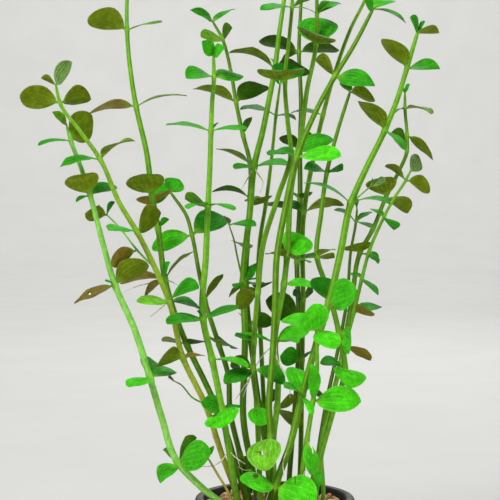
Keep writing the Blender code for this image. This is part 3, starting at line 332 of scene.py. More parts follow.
def unit(vector):
    return vector / np.linalg.norm(vector)


def on_photo(u, v, back):
    """The point at pixel (u, v) that lies `back` metres behind the plane of the pot's axis."""
    ray = np.array([0.0, math.cos(TILT_DOWN), -math.sin(TILT_DOWN)])
    ray += np.array([1.0, 0.0, 0.0]) * (u - CENTRE_PIXEL) / FOCAL_PIXELS
    ray += np.array([0.0, math.sin(TILT_DOWN), math.cos(TILT_DOWN)]) * (CENTRE_PIXEL - v) / FOCAL_PIXELS
    return EYE + ray * (back - EYE[1]) / ray[1]


def foot_of(shoot, depths):
    """How far back the shoot's lowest point is: its foot in the gravel, or the stem that it grows from."""
    if isinstance(shoot.foot[0], str):
        return depths[shoot.foot[0]][shoot.foot[1]]
    return shoot.foot[1] * MM


def first_depths():
    """How far back each point of each stem is, before the stems find room: straight from top to foot."""
    depths = {}
    for shoot in SHOOTS:
        share = np.linspace(0.0, 1.0, len(shoot.points) + (not isinstance(shoot.foot[0], str)))
        end = foot_of(shoot, depths)
        depths[shoot.name] = (shoot.back * MM * (1 - share) + end * share)[: len(shoot.points)]
    return depths


def stem_line(shoot, depths):
    """The stem's points in space, from its top down to its foot."""
    line = [on_photo(u, v, back) for (u, v), back in zip(shoot.points, depths[shoot.name])]
    if not isinstance(shoot.foot[0], str):
        line.append(np.array([shoot.foot[0] * MM, shoot.foot[1] * MM, GRAVEL_TOP]))
    return np.array(line)


def samples_of(line, step=1.5 * MM):
    """Points close together along a line, and the number of the line's point that each is nearest to."""
    points, nearest = [], []
    for i, (a, b) in enumerate(zip(line, line[1:])):
        for share in np.arange(0.0, 1.0, step / max(np.linalg.norm(b - a), step)):
            points.append(a + (b - a) * share)
            nearest.append(i + (share > 0.5))
    return np.array(points), np.array(nearest)


def push(depths, shoot, at, by):
    """Moves one point of a stem along the line of sight, and its neighbours half as far."""
    line = depths[shoot.name]
    for i, share in ((at - 1, 0.5), (at, 1.0), (at + 1, 0.5)):
        if 0 <= i < len(line):
            line[i] += by * share


def clear_stems(rounds=150):
    """The depths of every stem's points once no two stems come nearer than STEMS_APART."""
    depths = first_depths()
    for _ in range(rounds):
        lines = [samples_of(stem_line(shoot, depths)) for shoot in SHOOTS]
        crowded = False
        for (i, a), (j, b) in itertools.combinations(enumerate(SHOOTS), 2):
            if b.foot[0] == a.name or a.foot[0] == b.name:
                continue
            apart = np.linalg.norm(lines[i][0][:, None] - lines[j][0][None], axis=2)
            p, q = np.unravel_index(apart.argmin(), apart.shape)
            if apart[p, q] >= STEMS_APART:
                continue
            crowded = True
            by = (STEMS_APART - apart[p, q]) * 0.5 + 0.1 * MM
            ahead = 1 if lines[i][0][p, 1] > lines[j][0][q, 1] else -1
            push(depths, a, lines[i][1][p], by * ahead)
            push(depths, b, lines[j][1][q], -by * ahead)
        if not crowded:
            break
    return depths


def direction_at(line, i):
    """The stem's direction at its point i, from its foot towards its top."""
    return unit(line[max(i - 1, 0)] - line[min(i + 1, len(line) - 1)])


Blade = namedtuple("Blade", "root tip along normal width")


def blade_of(spec, line, back, reach_more=0.0, shrink=1.0):
    """Where a leaf lies: from its stem to its tip, with the way that its upper face looks."""
    root = line[spec.at]
    flat = np.linalg.norm(on_photo(*spec.tip, back) - root)
    length = spec.length * MM
    reach = spec.side * math.sqrt(max(length**2 - flat**2, 0.0)) + reach_more
    tip = on_photo(*spec.tip, back - reach)
    tip = root + (tip - root) * shrink
    along = unit(tip - root)
    toward = unit(EYE - root)
    toward = unit(toward - along * toward.dot(along))
    upward = np.cross(along, toward)
    if upward.dot(direction_at(line, spec.at)) < 0:
        upward = -upward
    normal = spec.shows * toward + math.sqrt(1 - spec.shows**2) * upward
    return Blade(root, tip, along, normal, spec.broad * length * shrink)


def outline_for(length):
    """The plainer outlines are for the smaller leaves, which need fewer faces."""
    if length < BUD:
        return BUD_OUTLINE
    return SMALL_LEAF_OUTLINE if length < SMALL_LEAF else LEAF_OUTLINE


def sections_of(blade, thick, more=0.0):
    """The four corners of each cross-section of a leaf, from its stem to its tip."""
    length = np.linalg.norm(blade.tip - blade.root)
    right = np.cross(blade.normal, blade.along)
    sections = []
    for share, wide in outline_for(length):
        reach = LEAF_START + (length - LEAF_START + more) * share
        rise = 4 * LEAF_ARCH * length * share * (1 - share)
        middle = blade.root + blade.along * reach + blade.normal * rise
        half = right * (blade.width * wide / 2 + more)
        up = blade.normal * (thick / 2 + more)
        sections.append([middle - half - up, middle + half - up, middle + half + up, middle - half + up])
    return sections


def tree_of(sections):
    """A search tree of the closed tube through a list of four-cornered sections."""
    points = [Vector(corner) for section in sections for corner in section]
    faces = [(0, 3, 2, 1), tuple(len(points) - 4 + i for i in range(4))]
    for start in range(0, len(points) - 4, 4):
        for i in range(4):
            j = (i + 1) % 4
            faces.append((start + i, start + j, start + 4 + j, start + 4 + i))
    return BVHTree.FromPolygons(points, faces), np.array(points)


def square(middle, along, side, toward):
    """The corners of a square across `along`, one of whose sides faces `toward`."""
    out = unit(toward - along * np.dot(toward, along))
    across = np.cross(along, out)
    return [middle + (out * x + across * y) * side / 2 for x, y in ((-1, -1), (1, -1), (1, 1), (-1, 1))]


def stem_tree(line):
    """A search tree of a stem with the gap that its neighbours keep round it."""
    side = STEM_SIDE * 1.2 + 2 * GAP
    return tree_of([square(p, direction_at(line, i), side, np.array([1.0, 0.3, 0.1]))
                    for i, p in enumerate(line)])


def boxes_meet(a, b):
    return (a.min(axis=0) <= b.max(axis=0)).all() and (b.min(axis=0) <= a.max(axis=0)).all()


def in_the_pot(corners):
    """Whether a corner of a leaf is down in the gravel or in the pot's rim."""
    radius = np.linalg.norm(corners[:, :2], axis=1)
    floor = np.where(radius < inside_radius(POT_HEIGHT) - 1 * MM, GRAVEL_TOP + 2 * GRAVEL_LUMP, POT_HEIGHT)
    floor[radius > POT_RIM_RADIUS + GAP] = 0
    return (corners[:, 2] < floor).any()


# Where a leaf is measured against the stem that carries it, and how far from it each place has to be
OUTER_SHARES = (0.45, 0.7, 1.0)
OWN_STEM_ROOM = 1.8 * MM


def near_own_stem(blade, line):
    """Whether the outer part of a leaf comes too near the stem that carries it."""
    points, _ = samples_of(line)
    for share in OUTER_SHARES:
        middle = blade.root + (blade.tip - blade.root) * share
        if np.linalg.norm(points - middle, axis=1).min() < OWN_STEM_ROOM:
            return True
    return False


# What a leaf tries in turn until it has room: how far its tip moves nearer, and what is left of it
TRIES = [(reach * side * MM, shrink) for shrink in (1.0, 0.85, 0.7, 0.55)
         for reach in (0, 1.5, 3, 4.5, 6, 8, 10, 12, 15) for side in (1, -1)]
LONGEST_SHARE = 1.15


def place_leaves(lines, depths):
    """Each shoot's blades: the longest leaves take their places first, the others find room round them."""
    stems = {shoot.name: stem_tree(lines[shoot.name]) for shoot in SHOOTS}
    order = sorted(((spec.length, shoot.name, number) for shoot in SHOOTS
                    for number, spec in enumerate(shoot.leaves)), reverse=True)
    shoots = {shoot.name: shoot for shoot in SHOOTS}
    placed, blades = [], {shoot.name: {} for shoot in SHOOTS}
    for _, name, number in order:
        spec = shoots[name].leaves[number]
        for reach, shrink in TRIES:
            blade = blade_of(spec, lines[name], depths[name][spec.at], reach, shrink)
            length = np.linalg.norm(blade.tip - blade.root)
            if not LEAF_START + 1 * MM < length < spec.length * MM * LONGEST_SHARE + 1 * MM:
                continue
            tree, corners = tree_of(sections_of(blade, LEAF_THICK, GAP))
            others = [stem for other, stem in stems.items() if other != name] + placed
            if near_own_stem(blade, lines[name]) or in_the_pot(corners):
                continue
            if not any(boxes_meet(corners, c) and tree.overlap(t) for t, c in others):
                placed.append(tree_of(sections_of(blade, LEAF_THICK)))
                blades[name][number] = blade
                break
    return blades


def in_gravel(shoot, line):
    """The line with its buried end: the cut stem leans a little towards the middle of the pot."""
    if isinstance(shoot.foot[0], str):
        return line
    x, y = line[-1][:2] * LEAN_IN_SHARE
    return np.vstack([line, [x, y, GRAVEL_TOP - STEM_DEPTH]])


def inside_radius(height):
    """The radius of the pot's inner wall at a height above the foot."""
    share = (height - POT_FLOOR) / (POT_HEIGHT - POT_FLOOR)
    foot = POT_FOOT_RADIUS - POT_WALL
    return foot + (POT_RIM_RADIUS - POT_RIM_WALL - foot) * share


def gravel_height(x, y):
    """The gravel's uneven top, as low waves of a stone's size."""
    wave = math.sin(x / (2.1 * MM) + 1.3) * math.cos(y / (2.6 * MM))
    return GRAVEL_TOP + GRAVEL_LUMP * wave


@functools.cache
def plan():
    """Each shoot's stem line and the blades of its leaves, as its solid has them."""
    depths = clear_stems()
    lines = {shoot.name: stem_line(shoot, depths) for shoot in SHOOTS}
    return lines, place_leaves(lines, depths)


# How wide a stem is, as a share of the usual width, and its colour at the top and at the foot
StemLook = namedtuple("StemLook", "wide top foot")
FRESH = (0.165, 0.470, 0.022)
LIME = (0.260, 0.670, 0.110)
MOSS = (0.110, 0.285, 0.010)
# SHADE is painted shade: the stems at the back darkened as if in shadow
SHADE = (0.065, 0.165, 0.006)
STRAW = (0.420, 0.350, 0.040)
STEM_LOOKS = {
    "shoot_01": StemLook(1.0, FRESH, STRAW), "shoot_02": StemLook(1.12, LIME, LIME),
    "shoot_03": StemLook(0.92, FRESH, MOSS), "shoot_04": StemLook(1.1, FRESH, FRESH),
    "shoot_05": StemLook(0.85, MOSS, SHADE), "shoot_06": StemLook(1.05, FRESH, MOSS),
    "shoot_07": StemLook(0.9, MOSS, SHADE), "shoot_08": StemLook(0.92, MOSS, MOSS),
    "shoot_09": StemLook(0.85, SHADE, SHADE), "shoot_10": StemLook(1.0, MOSS, FRESH),
    "shoot_11": StemLook(1.0, MOSS, MOSS), "shoot_12": StemLook(0.9, MOSS, SHADE),
    "shoot_13": StemLook(0.9, MOSS, FRESH), "shoot_14": StemLook(1.1, FRESH, MOSS),
    "shoot_15": StemLook(0.7, FRESH, FRESH), "shoot_16": StemLook(0.8, MOSS, MOSS),
    "shoot_17": StemLook(0.7, SHADE, SHADE), "shoot_18": StemLook(0.85, MOSS, SHADE),
    "shoot_19": StemLook(0.95, FRESH, MOSS), "shoot_20": StemLook(0.6, STRAW, MOSS),
    "side_shoot_01": StemLook(0.5, LIME, LIME), "side_shoot_02": StemLook(0.45, MOSS, MOSS),
    "side_shoot_03": StemLook(0.5, MOSS, MOSS), "side_shoot_04": StemLook(0.45, FRESH, FRESH),
}
PETIOLE = (0.260, 0.580, 0.040)

# Damage on the leaves: its middle in pixels, its half width and half height, and the radius of a hole
# right through it, in millimetres
Mark = namedtuple("Mark", "place wide tall hole")
MARKS = (
    Mark((261, 451), 2.9, 0.35, 0.0), Mark((262, 453), 1.15, 1.1, 0.7), Mark((90, 294), 1.0, 0.8, 0.45),
    Mark((295, 482), 0.3, 2.6, 0.0), Mark((255, 476), 1.3, 0.9, 0.0), Mark((107, 287), 0.5, 0.5, 0.0),
)
MARK_DEPTH = 3 * MM

# Thin white roots that hang from a joint: the shoot, its point's number, then the pixels passed
ROOTLETS = (
    ("shoot_01", 7, ((160, 309), (150, 317))), ("shoot_03", 8, ((150, 283), (138, 286), (124, 292))),
    ("shoot_03", 8, ((176, 284), (185, 291))), ("shoot_06", 6, ((249, 176), (241, 190))),
    ("shoot_06", 6, ((258, 174), (263, 182), (260, 193))),
    ("shoot_08", 10, ((251, 375), (240, 393), (235, 400))), ("shoot_08", 10, ((250, 378), (243, 397))),
    ("shoot_10", 8, ((272, 346), (264, 354), (254, 369))),
    ("shoot_10", 8, ((276, 347), (276, 355), (280, 365), (286, 375), (289, 382), (290, 398))),
    ("shoot_03", 11, ((213, 436), (222, 452), (228, 468), (232, 480))),
    ("shoot_04", 10, ((234, 456), (245, 464))), ("shoot_04", 10, ((220, 462), (215, 465), (200, 467))),
    ("shoot_03", 12, ((244, 470), (252, 470))), ("shoot_19", 4, ((313, 452), (308, 465), (303, 475))),
    ("shoot_14", 10, ((283, 462), (284, 475))), ("shoot_14", 11, ((270, 490), (266, 500))),
)


class PlantSettings(bpy.types.PropertyGroup):
    stem_width: FloatProperty(name="Stem width", description="Width of a full-grown stem between its joints",
                              default=1.95 * MM, subtype="DISTANCE", unit="LENGTH")
    joint_swelling: FloatProperty(name="Joint swelling", default=0.24, subtype="FACTOR",
                                  description="How much wider a stem is where leaves join")
    leaf_thickness: FloatProperty(name="Leaf thickness", description="Thickness of a leaf at its midrib",
                                  default=0.34 * MM, subtype="DISTANCE", unit="LENGTH")
    ripple: FloatProperty(name="Ripple", default=0.016, subtype="FACTOR",
                          description="Height of the waves along a leaf's edge, as a share of its length")
    rootlet_width: FloatProperty(name="Rootlet width", description="Width of a hanging root where it starts",
                                 default=0.52 * MM, subtype="DISTANCE", unit="LENGTH")
    seed: IntProperty(name="Seed", description="Seed of the small differences between leaves", default=7)


class PotSettings(bpy.types.PropertyGroup):
    colour: FloatVectorProperty(name="Plastic", description="Colour of the pot", size=3, subtype="COLOR",
                                default=(0.017, 0.018, 0.019), min=0.0, max=1.0)
    edge_radius: FloatProperty(name="Edge radius", description="Rounding of the pot's edges",
                               default=0.7 * MM, subtype="DISTANCE", unit="LENGTH")


class GravelSettings(bpy.types.PropertyGroup):
    smallest: FloatProperty(name="Smallest stone", description="Radius of the smallest stones",
                            default=1.3 * MM, subtype="DISTANCE", unit="LENGTH")
    largest: FloatProperty(name="Largest stone", description="Radius of the largest stones",
                           default=2.7 * MM, subtype="DISTANCE", unit="LENGTH")
    roundness: FloatProperty(name="Lumps", description="Depth of the lumps on a stone",
                             default=0.9 * MM, subtype="DISTANCE", unit="LENGTH")
    seed: IntProperty(name="Seed", description="Seed of the stones' places, sizes and colours", default=3)


class StageSettings(bpy.types.PropertyGroup):
    floor: FloatVectorProperty(name="Floor", description="Colour of the floor", size=3, subtype="COLOR",
                               default=(0.68, 0.68, 0.665), min=0.0, max=1.0)
    key_power: FloatProperty(name="Key light", description="Power of the main light",
                             default=8.4, unit="POWER")
    fill_power: FloatProperty(name="Fill light", description="Power of the second light",
                              default=2.2, unit="POWER")


def socket_of(sockets, identifier):
    return next(socket for socket in sockets if socket.identifier == identifier)


def put(tree, kind, inputs=None, **settings):
    """Adds a node. inputs gives, by socket identifier, a value or another node's output."""
    made = tree.nodes.new(kind)
    for key, value in settings.items():
        setattr(made, key, value)
    for identifier, value in (inputs or {}).items():
        socket = socket_of(made.inputs, identifier)
        if isinstance(value, bpy.types.NodeSocket):
            tree.links.new(value, socket)
        else:
            socket.default_value = value
    return made


def math_node(tree, operation, *values):
    made = put(tree, "ShaderNodeMath", operation=operation)
    for socket, value in zip(made.inputs, values):
        if isinstance(value, bpy.types.NodeSocket):
            tree.links.new(value, socket)
        else:
            socket.default_value = value
    return made.outputs[0]


def ramped(tree, value, low, high, to_low=0.0, to_high=1.0, smooth=False):
    """A value taken from one range to another and kept inside it."""
    made = put(tree, "ShaderNodeMapRange", {
        "Value": value, "From Min": low, "From Max": high, "To Min": to_low, "To Max": to_high})
    made.interpolation_type = "SMOOTHSTEP" if smooth else "LINEAR"
    return made.outputs["Result"]


def tinted(tree, share, colour, other):
    """The colour, mixed by that share with the other one."""
    mix = put(tree, "ShaderNodeMix", {
        "Factor_Float": share, "A_Color": colour, "B_Color": other}, data_type="RGBA")
    return socket_of(mix.outputs, "Result_Color")


def scaled(tree, colour, factor):
    made = put(tree, "ShaderNodeVectorMath", {"Vector": colour, "Scale": factor}, operation="SCALE")
    return made.outputs[0]


def new_group(name, numbers, output):
    """A shader node group with named number inputs and one number output."""
    group = bpy.data.node_groups.new(name, "ShaderNodeTree")
    for title, default in numbers:
        socket = group.interface.new_socket(title, in_out="INPUT", socket_type="NodeSocketFloat")
        socket.default_value = default
    group.interface.new_socket(output, in_out="OUTPUT", socket_type="NodeSocketFloat")
    return group, group.nodes.new("NodeGroupInput"), group.nodes.new("NodeGroupOutput")


def noise_in_group(group, size, detail):
    """A noise whose lumps are `size` metres across, on the object's own coordinates."""
    place = group.nodes.new("ShaderNodeTexCoord").outputs["Object"]
    scale = math_node(group, "DIVIDE", 1.0, size)
    noise = put(group, "ShaderNodeTexNoise", {"Vector": place, "Scale": scale, "Detail": detail})
    return noise.outputs["Fac"]


def mottling_group():
    """Uneven tone: a factor about 1 that a colour is scaled by."""
    group, given, result = new_group("Mottling", (("Size", 1.5 * MM), ("Contrast", 0.15)), "Factor")
    noise = noise_in_group(group, given.outputs["Size"], 3.0)
    low = math_node(group, "SUBTRACT", 1.0, given.outputs["Contrast"])
    high = math_node(group, "ADD", 1.0, given.outputs["Contrast"])
    group.links.new(ramped(group, noise, 0.3, 0.7, low, high), result.inputs[0])
    return group


def flecks_group():
    """Small scattered marks: a mask that is 1 on a mark."""
    group, given, result = new_group("Flecks", (("Size", 0.5 * MM), ("Amount", 0.1)), "Mask")
    noise = noise_in_group(group, given.outputs["Size"], 1.5)
    edge = math_node(group, "SUBTRACT", 0.74, given.outputs["Amount"])
    end = math_node(group, "ADD", edge, 0.05)
    group.links.new(ramped(group, noise, edge, end), result.inputs[0])
    return group


def effect(tree, name, *values):
    """Places one of the shared effects in a material with its own values."""
    makers = {"Mottling": mottling_group, "Flecks": flecks_group}
    group = bpy.data.node_groups.get(name) or makers[name]()
    made = put(tree, "ShaderNodeGroup", node_tree=group)
    for socket, value in zip(made.inputs, values):
        socket.default_value = value
    return made.outputs[0]


def new_material(name, **constants):
    material = bpy.data.materials.new(name)
    material.use_nodes = True
    shader = material.node_tree.nodes["Principled BSDF"]
    for key, value in constants.items():
        shader.inputs[key.replace("_", " ")].default_value = value
    return material, material.node_tree, shader


def coloured_by(tree, name):
    return put(tree, "ShaderNodeAttribute", attribute_name=name).outputs["Color"]


def valued_by(tree, name):
    return put(tree, "ShaderNodeAttribute", attribute_name=name).outputs["Fac"]


def bumped(tree, shader, height, distance, strength=1.0):
    bump = put(tree, "ShaderNodeBump", {"Height": height, "Distance": distance, "Strength": strength})
    tree.links.new(bump.outputs["Normal"], shader.inputs["Normal"])


def vein_and_rim_masks(tree):
    """Five veins that part at a leaf's foot and meet at its tip, with a fine net between; and its edge, whose
    paler band is the margin's own colour and a painted highlight.
    """
    leaf_map = put(tree, "ShaderNodeUVMap", uv_map="UVMap").outputs[0]
    parts = put(tree, "ShaderNodeSeparateXYZ", {"Vector": leaf_map})
    along, across = parts.outputs[0], parts.outputs[1]
    from_middle = math_node(tree, "ABSOLUTE", math_node(tree, "SUBTRACT", across, 0.5))
    # A paler band along the leaf's edge: the margin's own paler green and a painted highlight
    rim_and_highlight = ramped(tree, from_middle, 0.40, 0.50, smooth=True)
    place = tree.nodes.new("ShaderNodeTexCoord").outputs["Object"]
    sway = put(tree, "ShaderNodeTexNoise", {"Vector": place, "Scale": 300.0, "Detail": 1.0}).outputs["Fac"]
    across = math_node(tree, "ADD", across, math_node(tree, "MULTIPLY_ADD", sway, 0.05, -0.025))
    distance = math_node(tree, "PINGPONG", math_node(tree, "MULTIPLY", across, 6.0), 0.5)
    lines = ramped(tree, distance, 0.0, 0.15, 1.0, 0.0, smooth=True)
    lines = math_node(tree, "MULTIPLY", lines, ramped(tree, along, 0.35, 1.0, 1.0, 0.25))
    net = put(tree, "ShaderNodeTexVoronoi", {"Vector": place, "Scale": 900.0}, feature="DISTANCE_TO_EDGE")
    net = ramped(tree, net.outputs["Distance"], 0.0, 0.12, 0.32, 0.0)
    return math_node(tree, "MAXIMUM", lines, net), rim_and_highlight


def mark_mask(tree):
    """Where the damaged places are: 1 on each one, fading at its edge."""
    place = tree.nodes.new("ShaderNodeTexCoord").outputs["Object"]
    mask = 0.0
    for mark in MARKS:
        _, point = marked_leaf(mark)
        away = put(tree, "ShaderNodeVectorMath", {
            "Vector": place, "Vector_001": tuple(point)}, operation="SUBTRACT")
        reach = (mark.wide * MM, MARK_DEPTH, mark.tall * MM)
        share = put(tree, "ShaderNodeVectorMath", {
            "Vector": away.outputs[0], "Vector_001": reach}, operation="DIVIDE")
        out = put(tree, "ShaderNodeVectorMath", {"Vector": share.outputs[0]}, operation="LENGTH")
        mask = math_node(tree, "MAXIMUM", mask, ramped(tree, out.outputs["Value"], 0.7, 1.1, 1.0, 0.0))
    return mask


@functools.cache
def leaf_material():
    """Mottled leaves with paler veins and rims, the rims partly their own paler green and partly a painted
    highlight, brown spots and the marked damage.
    """
    material, tree, shader = new_material(
        "leaf", Specular_IOR_Level=0.04, Specular_Tint=(0.55, 1.0, 0.45, 1.0))
    veins, rim_and_highlight = vein_and_rim_masks(tree)
    # The rim's pale band is partly the margin's own colour and partly a painted highlight
    pale = math_node(tree, "MAXIMUM", math_node(tree, "MULTIPLY", veins, 0.6),
                     math_node(tree, "MULTIPLY", rim_and_highlight, 0.4))
    colour = tinted(tree, pale, coloured_by(tree, "leaf_colour"), coloured_by(tree, "vein_colour"))
    for size, contrast in ((5.0, 0.2), (1.8, 0.2), (0.4, 0.12)):
        colour = scaled(tree, colour, effect(tree, "Mottling", size * MM, contrast))
    spots = math_node(tree, "MULTIPLY", effect(tree, "Flecks", 0.8 * MM, 0.06), valued_by(tree, "spotted"))
    marks = math_node(tree, "MULTIPLY", mark_mask(tree), 0.85)
    colour = tinted(tree, math_node(tree, "MAXIMUM", spots, marks), colour, (0.075, 0.040, 0.006, 1.0))
    tree.links.new(colour, shader.inputs["Base Color"])
    tree.links.new(ramped(tree, effect(tree, "Mottling", 1.2 * MM, 0.25), 0.75, 1.25, 0.42, 0.62),
                   shader.inputs["Roughness"])
    height = math_node(tree, "ADD", math_node(tree, "MULTIPLY", veins, -0.6),
                       effect(tree, "Mottling", 0.7 * MM, 0.4))
    bumped(tree, shader, height, 0.12 * MM, 0.9)
    return material


@functools.cache
def stem_material():
    """Four-angled stems: paler along the ridges, partly their own colour and partly a painted highlight, and
    at the joints, with fine streaks and brown flecks.
    """
    material, tree, shader = new_material(
        "stem", Specular_IOR_Level=0.16, Specular_Tint=(0.8, 1.0, 0.55, 1.0))
    ridge, joint = valued_by(tree, "ridge"), valued_by(tree, "joint")
    colour = scaled(tree, coloured_by(tree, "stem_colour"), effect(tree, "Mottling", 1.8 * MM, 0.18))
    # Paler ridges: the ridges' own paler green and a painted highlight along them
    colour = tinted(tree, math_node(tree, "MULTIPLY", ridge, 0.3), colour, (0.46, 0.70, 0.10, 1.0))
    colour = tinted(tree, math_node(tree, "MULTIPLY", joint, 0.55), colour, (*PETIOLE, 1.0))
    place = put(tree, "ShaderNodeMapping", {
        "Vector": tree.nodes.new("ShaderNodeTexCoord").outputs["Object"], "Scale": (1.0, 1.0, 0.06)})
    streaks = put(tree, "ShaderNodeTexNoise", {"Vector": place.outputs[0], "Scale": 2600.0, "Detail": 2.0})
    streaks = streaks.outputs["Fac"]
    colour = scaled(tree, colour, ramped(tree, streaks, 0.3, 0.7, 0.84, 1.16))
    colour = tinted(tree, math_node(tree, "MULTIPLY", effect(tree, "Flecks", 0.45 * MM, 0.07), 0.55), colour,
                    (0.16, 0.11, 0.02, 1.0))
    tree.links.new(colour, shader.inputs["Base Color"])
    tree.links.new(ramped(tree, streaks, 0.3, 0.7, 0.45, 0.62), shader.inputs["Roughness"])
    height = math_node(tree, "ADD", streaks, effect(tree, "Mottling", 0.6 * MM, 0.5))
    bumped(tree, shader, height, 0.08 * MM, 0.7)
    return material


@functools.cache
def rootlet_material():
    material, tree, shader = new_material("rootlet", Specular_IOR_Level=0.4)
    colour = tinted(tree, effect(tree, "Flecks", 1.2 * MM, 0.2),
                    (0.86, 0.84, 0.64, 1.0), (0.62, 0.50, 0.28, 1.0))
    tree.links.new(scaled(tree, colour, effect(tree, "Mottling", 1.0 * MM, 0.2)), shader.inputs["Base Color"])
    tree.links.new(ramped(tree, effect(tree, "Mottling", 0.5 * MM, 0.3), 0.7, 1.3, 0.4, 0.65),
                   shader.inputs["Roughness"])
    return material


STONE_COLOURS = (
    (0.00, (0.42, 0.13, 0.035)), (0.14, (0.58, 0.24, 0.075)), (0.30, (0.66, 0.38, 0.17)),
    (0.46, (0.72, 0.52, 0.31)), (0.60, (0.50, 0.20, 0.07)), (0.70, (0.78, 0.66, 0.50)),
    (0.82, (0.60, 0.42, 0.33)), (0.90, (0.80, 0.76, 0.70)), (0.985, (0.04, 0.035, 0.03)),
)


@functools.cache
def stone_material():
    """Worn quartz gravel: each stone has its own tone, with stains, fine mottling and a slight gloss."""
    material, tree, shader = new_material("stone", Specular_IOR_Level=0.5)
    ramp = put(tree, "ShaderNodeValToRGB", {"Fac": valued_by(tree, "stone_tone")})
    ramp.color_ramp.interpolation = "CONSTANT"
    while len(ramp.color_ramp.elements) < len(STONE_COLOURS):
        ramp.color_ramp.elements.new(0.5)
    for element, (position, colour) in zip(ramp.color_ramp.elements, STONE_COLOURS):
        element.position = position
        element.color = (*colour, 1.0)
    colour = scaled(tree, ramp.outputs["Color"], effect(tree, "Mottling", 2.0 * MM, 0.3))
    stain = math_node(tree, "MULTIPLY", effect(tree, "Flecks", 1.6 * MM, 0.16), 0.5)
    colour = tinted(tree, stain, colour, (0.36, 0.12, 0.03, 1.0))
    colour = scaled(tree, colour, effect(tree, "Mottling", 0.35 * MM, 0.14))
    tree.links.new(colour, shader.inputs["Base Color"])
    tree.links.new(ramped(tree, effect(tree, "Mottling", 0.9 * MM, 0.3), 0.7, 1.3, 0.3, 0.6),
                   shader.inputs["Roughness"])
    bumped(tree, shader, effect(tree, "Mottling", 0.6 * MM, 0.5), 0.12 * MM, 0.8)
    return material


@functools.cache
def gravel_bed_material():
    """The fine gravel between and below the stones, each grain darker towards its edge with painted shade in
    the cracks.
    """
    material, tree, shader = new_material("gravel_bed", Specular_IOR_Level=0.4)
    place = tree.nodes.new("ShaderNodeTexCoord").outputs["Object"]
    grains = put(tree, "ShaderNodeTexVoronoi", {"Vector": place, "Scale": 480.0})
    tone = put(tree, "ShaderNodeSeparateXYZ", {"Vector": grains.outputs["Color"]}).outputs[0]
    colour = tinted(tree, tone, (0.30, 0.12, 0.045, 1.0), (0.60, 0.42, 0.26, 1.0))
    # Painted shade: each grain darkens towards its edge, into the cracks between grains
    colour = scaled(tree, colour, ramped(tree, grains.outputs["Distance"], 0.3, 0.7, 1.0, 0.35))
    colour = scaled(tree, colour, effect(tree, "Mottling", 1.2 * MM, 0.25))
    tree.links.new(colour, shader.inputs["Base Color"])
    tree.links.new(ramped(tree, tone, 0.0, 1.0, 0.45, 0.7), shader.inputs["Roughness"])
    bumped(tree, shader, math_node(tree, "MULTIPLY", grains.outputs["Distance"], -1.0), 0.9 * MM)
    return material


@functools.cache
def pot_material():
    """Matt black plastic with the fine grain of its mould and a little dust."""
    settings = bpy.context.scene.potted_pot
    material, tree, shader = new_material("pot_plastic", Specular_IOR_Level=0.45)
    colour = (*settings.colour, 1.0)
    dust = math_node(tree, "MULTIPLY", effect(tree, "Flecks", 0.9 * MM, 0.12), 0.18)
    colour = tinted(tree, dust, colour, (0.16, 0.14, 0.12, 1.0))
    colour = scaled(tree, colour, effect(tree, "Mottling", 9.0 * MM, 0.22))
    tree.links.new(colour, shader.inputs["Base Color"])
    tree.links.new(ramped(tree, effect(tree, "Mottling", 5.0 * MM, 0.3), 0.7, 1.3, 0.42, 0.62),
                   shader.inputs["Roughness"])
    bumped(tree, shader, effect(tree, "Mottling", 0.3 * MM, 0.5), 0.03 * MM, 0.8)
    return material


@functools.cache
def floor_material():
    material, tree, shader = new_material("floor", Roughness=0.75)
    settings = bpy.context.scene.potted_stage
    colour = scaled(tree, put(tree, "ShaderNodeRGB").outputs[0], effect(tree, "Mottling", 60 * MM, 0.02))
    tree.nodes["RGB"].outputs[0].default_value = (*settings.floor, 1.0)
    tree.links.new(colour, shader.inputs["Base Color"])
    return material


def new_piece(name, data):
    """An object of the scene from a mesh or a bmesh, at the origin."""
    if isinstance(data, bmesh.types.BMesh):
        mesh = bpy.data.meshes.new(name)
        data.to_mesh(mesh)
        data.free()
        data = mesh
    made = bpy.data.objects.new(name, data)
    bpy.context.scene.collection.objects.link(made)
    return made


def as_plain_mesh(piece):
    """Turns what the piece's modifiers make into its own mesh and removes them."""
    bpy.context.view_layer.update()
    graph = bpy.context.evaluated_depsgraph_get()
    mesh = bpy.data.meshes.new_from_object(piece.evaluated_get(graph), preserve_all_data_layers=True,
                                           depsgraph=graph)
    piece.modifiers.clear()
    piece.data = mesh
    mesh.name = piece.name
    return piece


def cut_away(piece, cutter):
    """Takes the cutter's shape out of the piece and removes the cutter."""
    modifier = piece.modifiers.new("cut", "BOOLEAN")
    modifier.operation = "DIFFERENCE"
    modifier.solver = "EXACT"
    modifier.object = cutter
    as_plain_mesh(piece)
    bpy.data.objects.remove(cutter)


def settle(piece, slot, *nodes):
    """The frame's calls for a finished piece."""
    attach(piece, "root")
    if nodes:
        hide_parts(*nodes)


def with_tree(piece, tree, **inputs):
    """Puts a Geometry Nodes tree on a piece and sets its named inputs by their identifiers."""
    modifier = piece.modifiers.new(tree.name, "NODES")
    modifier.node_group = tree
    by_name = {item.name: item.identifier for item in tree.interface.items_tree}
    for name, value in inputs.items():
        modifier[by_name[name.replace("_", " ")]] = value
    return as_plain_mesh(piece)


